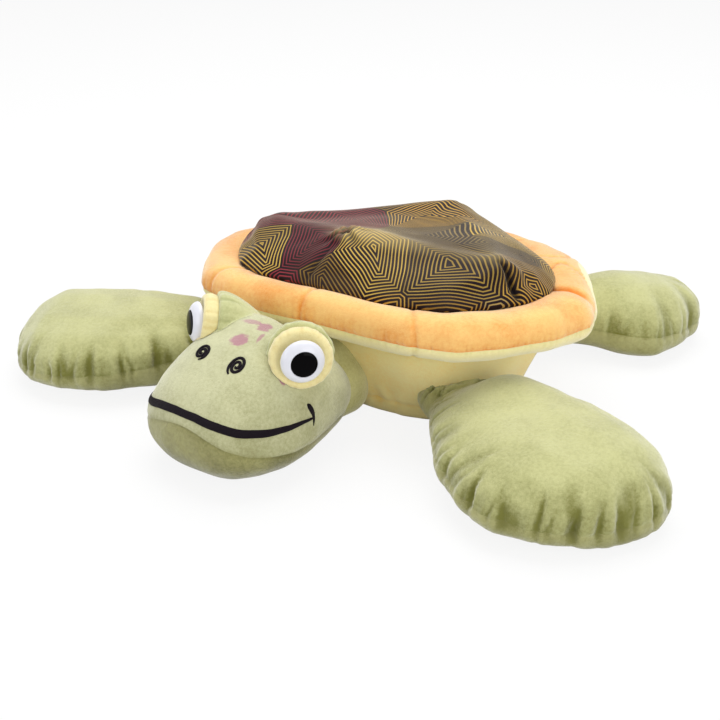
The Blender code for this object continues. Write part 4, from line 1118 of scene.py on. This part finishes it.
def band(name, places_on, widths):
    """A raised band of stitches that follows places on the head, each with its normal."""
    frames = []
    along = []
    run = 0.0
    for number, (place, normal) in enumerate(places_on):
        before = places_on[max(number - 1, 0)][0]
        after = places_on[min(number + 1, len(places_on) - 1)][0]
        ahead = (after - before).normalized()
        lift = min(STITCH_HEIGHT, widths[number])
        frames.append(ring_at(normal.cross(ahead) * widths[number], normal * lift, ahead, place))
        run += (place - before).length
        along += [run] * BAND_COLUMNS
    mesh = sleeve(name, BAND_COLUMNS, frames)
    mesh.attributes.new("along", "FLOAT", "POINT").data.foreach_set("value", along)
    return mesh


def on_muzzle(turn, height):
    """Where a level line from in front of the muzzle, or from beside it, meets the plush."""
    towards = HEAD_FORWARD * math.cos(turn) + HEAD_SIDE * math.sin(turn)
    place, normal, _, _ = head_tree.ray_cast(in_head(0.0, MUZZLE_FORWARD, height) + towards * 0.3, -towards)
    return place, normal


def stroke(form, turn):
    """The height and half width of a stroke at a turn, read off its form."""
    turns, heights, widths = zip(*form)
    return np.interp(turn, turns, heights), np.interp(turn, turns, widths)


mouth_places = []
mouth_widths = []
mouth_corner = MOUTH_FORM[-1][0]
for step in range(MOUTH_STEPS + 1):
    turn = mouth_corner * (2.0 * step / MOUTH_STEPS - 1.0)
    height, width = stroke(MOUTH_FORM, abs(turn))
    height -= MOUTH_SAG * smooth_step(-turn, 15.0, 60.0)
    mouth_places.append(on_muzzle(math.radians(turn), height))
    mouth_widths.append(width)
mouth_parts = [band("mouth", mouth_places, mouth_widths)]
for hand in (1.0, -1.0):
    shares = np.linspace(0.0, len(TICK_FORM) - 1.0, TICK_STEPS)
    marks = [np.interp(shares, range(len(TICK_FORM)), column) for column in zip(*TICK_FORM)]
    sag = MOUTH_SAG if hand < 0.0 else 0.0
    tick = [on_muzzle(math.radians(hand * turn), height - sag) for turn, height in zip(marks[0], marks[1])]
    mouth_parts.append(band("tick", tick, marks[2]))
mouth_all = bmesh.new()
for part_mesh in mouth_parts:
    mouth_all.from_mesh(part_mesh)
mouth_mesh = bpy.data.meshes.new("mouth_stitches")
mouth_all.to_mesh(mouth_mesh)
mouth_all.free()
piece_of("mouth_stitches", mouth_mesh, THREAD, "dark_thread", "head", "mouth_line")

NOSTRIL_SIDE = 0.0167
NOSTRIL_FORWARD = 0.1068
NOSTRIL_TURNS = 2.15
NOSTRIL_STEPS = 110
NOSTRIL_INNER = 0.0006
NOSTRIL_OUTER = 0.0058
NOSTRIL_WIDTH = 0.00118
# Side, hand, how much taller than wide, and at what angle the spiral starts
NOSTRILS = (("left", 1.0, 1.38, 200.0), ("right", -1.0, 1.12, -20.0))
for side_name, hand, tall, start in NOSTRILS:
    middle, lean, _, _ = head_tree.ray_cast(in_head(hand * NOSTRIL_SIDE, NOSTRIL_FORWARD, 0.3), -UP)
    over = lean.cross(HEAD_SIDE).normalized()
    aside = over.cross(lean).normalized()
    spiral = []
    widths = []
    for step in range(NOSTRIL_STEPS + 1):
        share = step / NOSTRIL_STEPS
        turn = hand * share * NOSTRIL_TURNS * math.tau + math.radians(start)
        radius = NOSTRIL_INNER + (NOSTRIL_OUTER - NOSTRIL_INNER) * share
        spot = middle + (aside * math.cos(turn) + over * math.sin(turn) * tall) * radius
        place, normal, _, _ = head_tree.find_nearest(spot)
        spiral.append((place, normal))
        widths.append(NOSTRIL_WIDTH * min(1.0, 0.4 + 6.0 * share, 0.5 + 8.0 * (1.0 - share)))
    nostril = band("nostril", spiral, widths)
    piece_of("nostril_stitches_" + side_name, nostril, THREAD, "dark_thread", "head", "nostril_" + side_name)


# The flippers: an upper panel of pale plush and a lower one of darker plush, gathered as they are sewn
# round the edge, filled, and closed at the narrow root that is sewn to the wall.
SEAM_RAISE = 0.0040
FRONT_GATHER = 0.0034
REAR_GATHER = 0.00136
SLACK_FOLD = 0.0028
UNDER_SHARE = 0.18
# 0.030 is the height below which painted shade darkens the lower panels.
UNDER_GREEN = plush("flipper_under_plush", linear(176, 174, 122), linear(120, 119, 66), 8.0, 0.030)
# Where a flipper bulges more than its pattern: the middle of the bulge, how wide it is, which way it goes
BULGES = {
    "front_left_flipper": (
        ((0.138, -0.050, 0.045), 0.030, (0.0, 0.004, 0.008)),
        ((0.078, -0.056, 0.042), 0.026, (0.007, 0.004, -0.005)),
        ((0.215, -0.030, 0.045), 0.050, (0.001, 0.006, 0.004)),
        ((0.215, -0.155, 0.012), 0.050, (0.0, 0.006, 0.0)),
    ),
    "front_right_flipper": (
        ((-0.078, -0.056, 0.042), 0.026, (-0.007, 0.004, -0.005)),
        ((-0.225, -0.165, 0.015), 0.040, (0.0, -0.003, 0.0)),
    ),
    "rear_left_flipper": (
        ((0.112, 0.170, 0.053), 0.036, (0.0, 0.0, 0.007)),
        ((0.105, 0.118, 0.012), 0.034, (-0.0035, 0.0050, 0.0042)),
        ((0.156, 0.152, 0.012), 0.026, (0.0045, -0.0065, -0.0020)),
    ),
    "rear_right_flipper": (),
}
for number, (name, bulges) in enumerate(BULGES.items()):
    form = soft_form(0.0028, name + "_stuffing", name + "_top", name + "_bottom")
    rows = places(form)
    for place, wide, shift in bulges:
        share = bump_at(np.linalg.norm(rows - np.array(place), axis=1), wide)
        rows = rows + share[:, None] * np.array(shift)
    put(form, rows)
    middle, up = seam_plane(name + "_top", name + "_bottom")
    plane = (middle + up * SEAM_RAISE, up)
    seam = seam_on(form, plane)
    upper = smooth_step((places(form) - np.array(plane[0])) @ np.array(up), -0.010, 0.006)
    depth = REAR_GATHER if "rear" in name else FRONT_GATHER
    folds = gathers(seam, 0.0150, depth, 0.036, 31 + number)
    folds += gathers(seam, 0.0370, SLACK_FOLD, 0.055, 41 + number)
    folds = folds * (UNDER_SHARE + (1.0 - UNDER_SHARE) * upper) + groove(seam, 0.0006, 0.0016)
    pressed(form, folds + lumps(form, 0.045, 0.0022, 10 + number), folds)
    piece_of(
        name + "_upper_panel", half(form, plane, 1.0, name + "_upper_panel"), GREEN, "pale_green_plush", name,
        name + "_top", name + "_stuffing", fill=0.8,
    )
    piece_of(
        name + "_lower_panel", half(form, plane, -1.0, name + "_lower_panel"), UNDER_GREEN, "olive_plush", name,
        name + "_bottom", fill=0.8,
    )
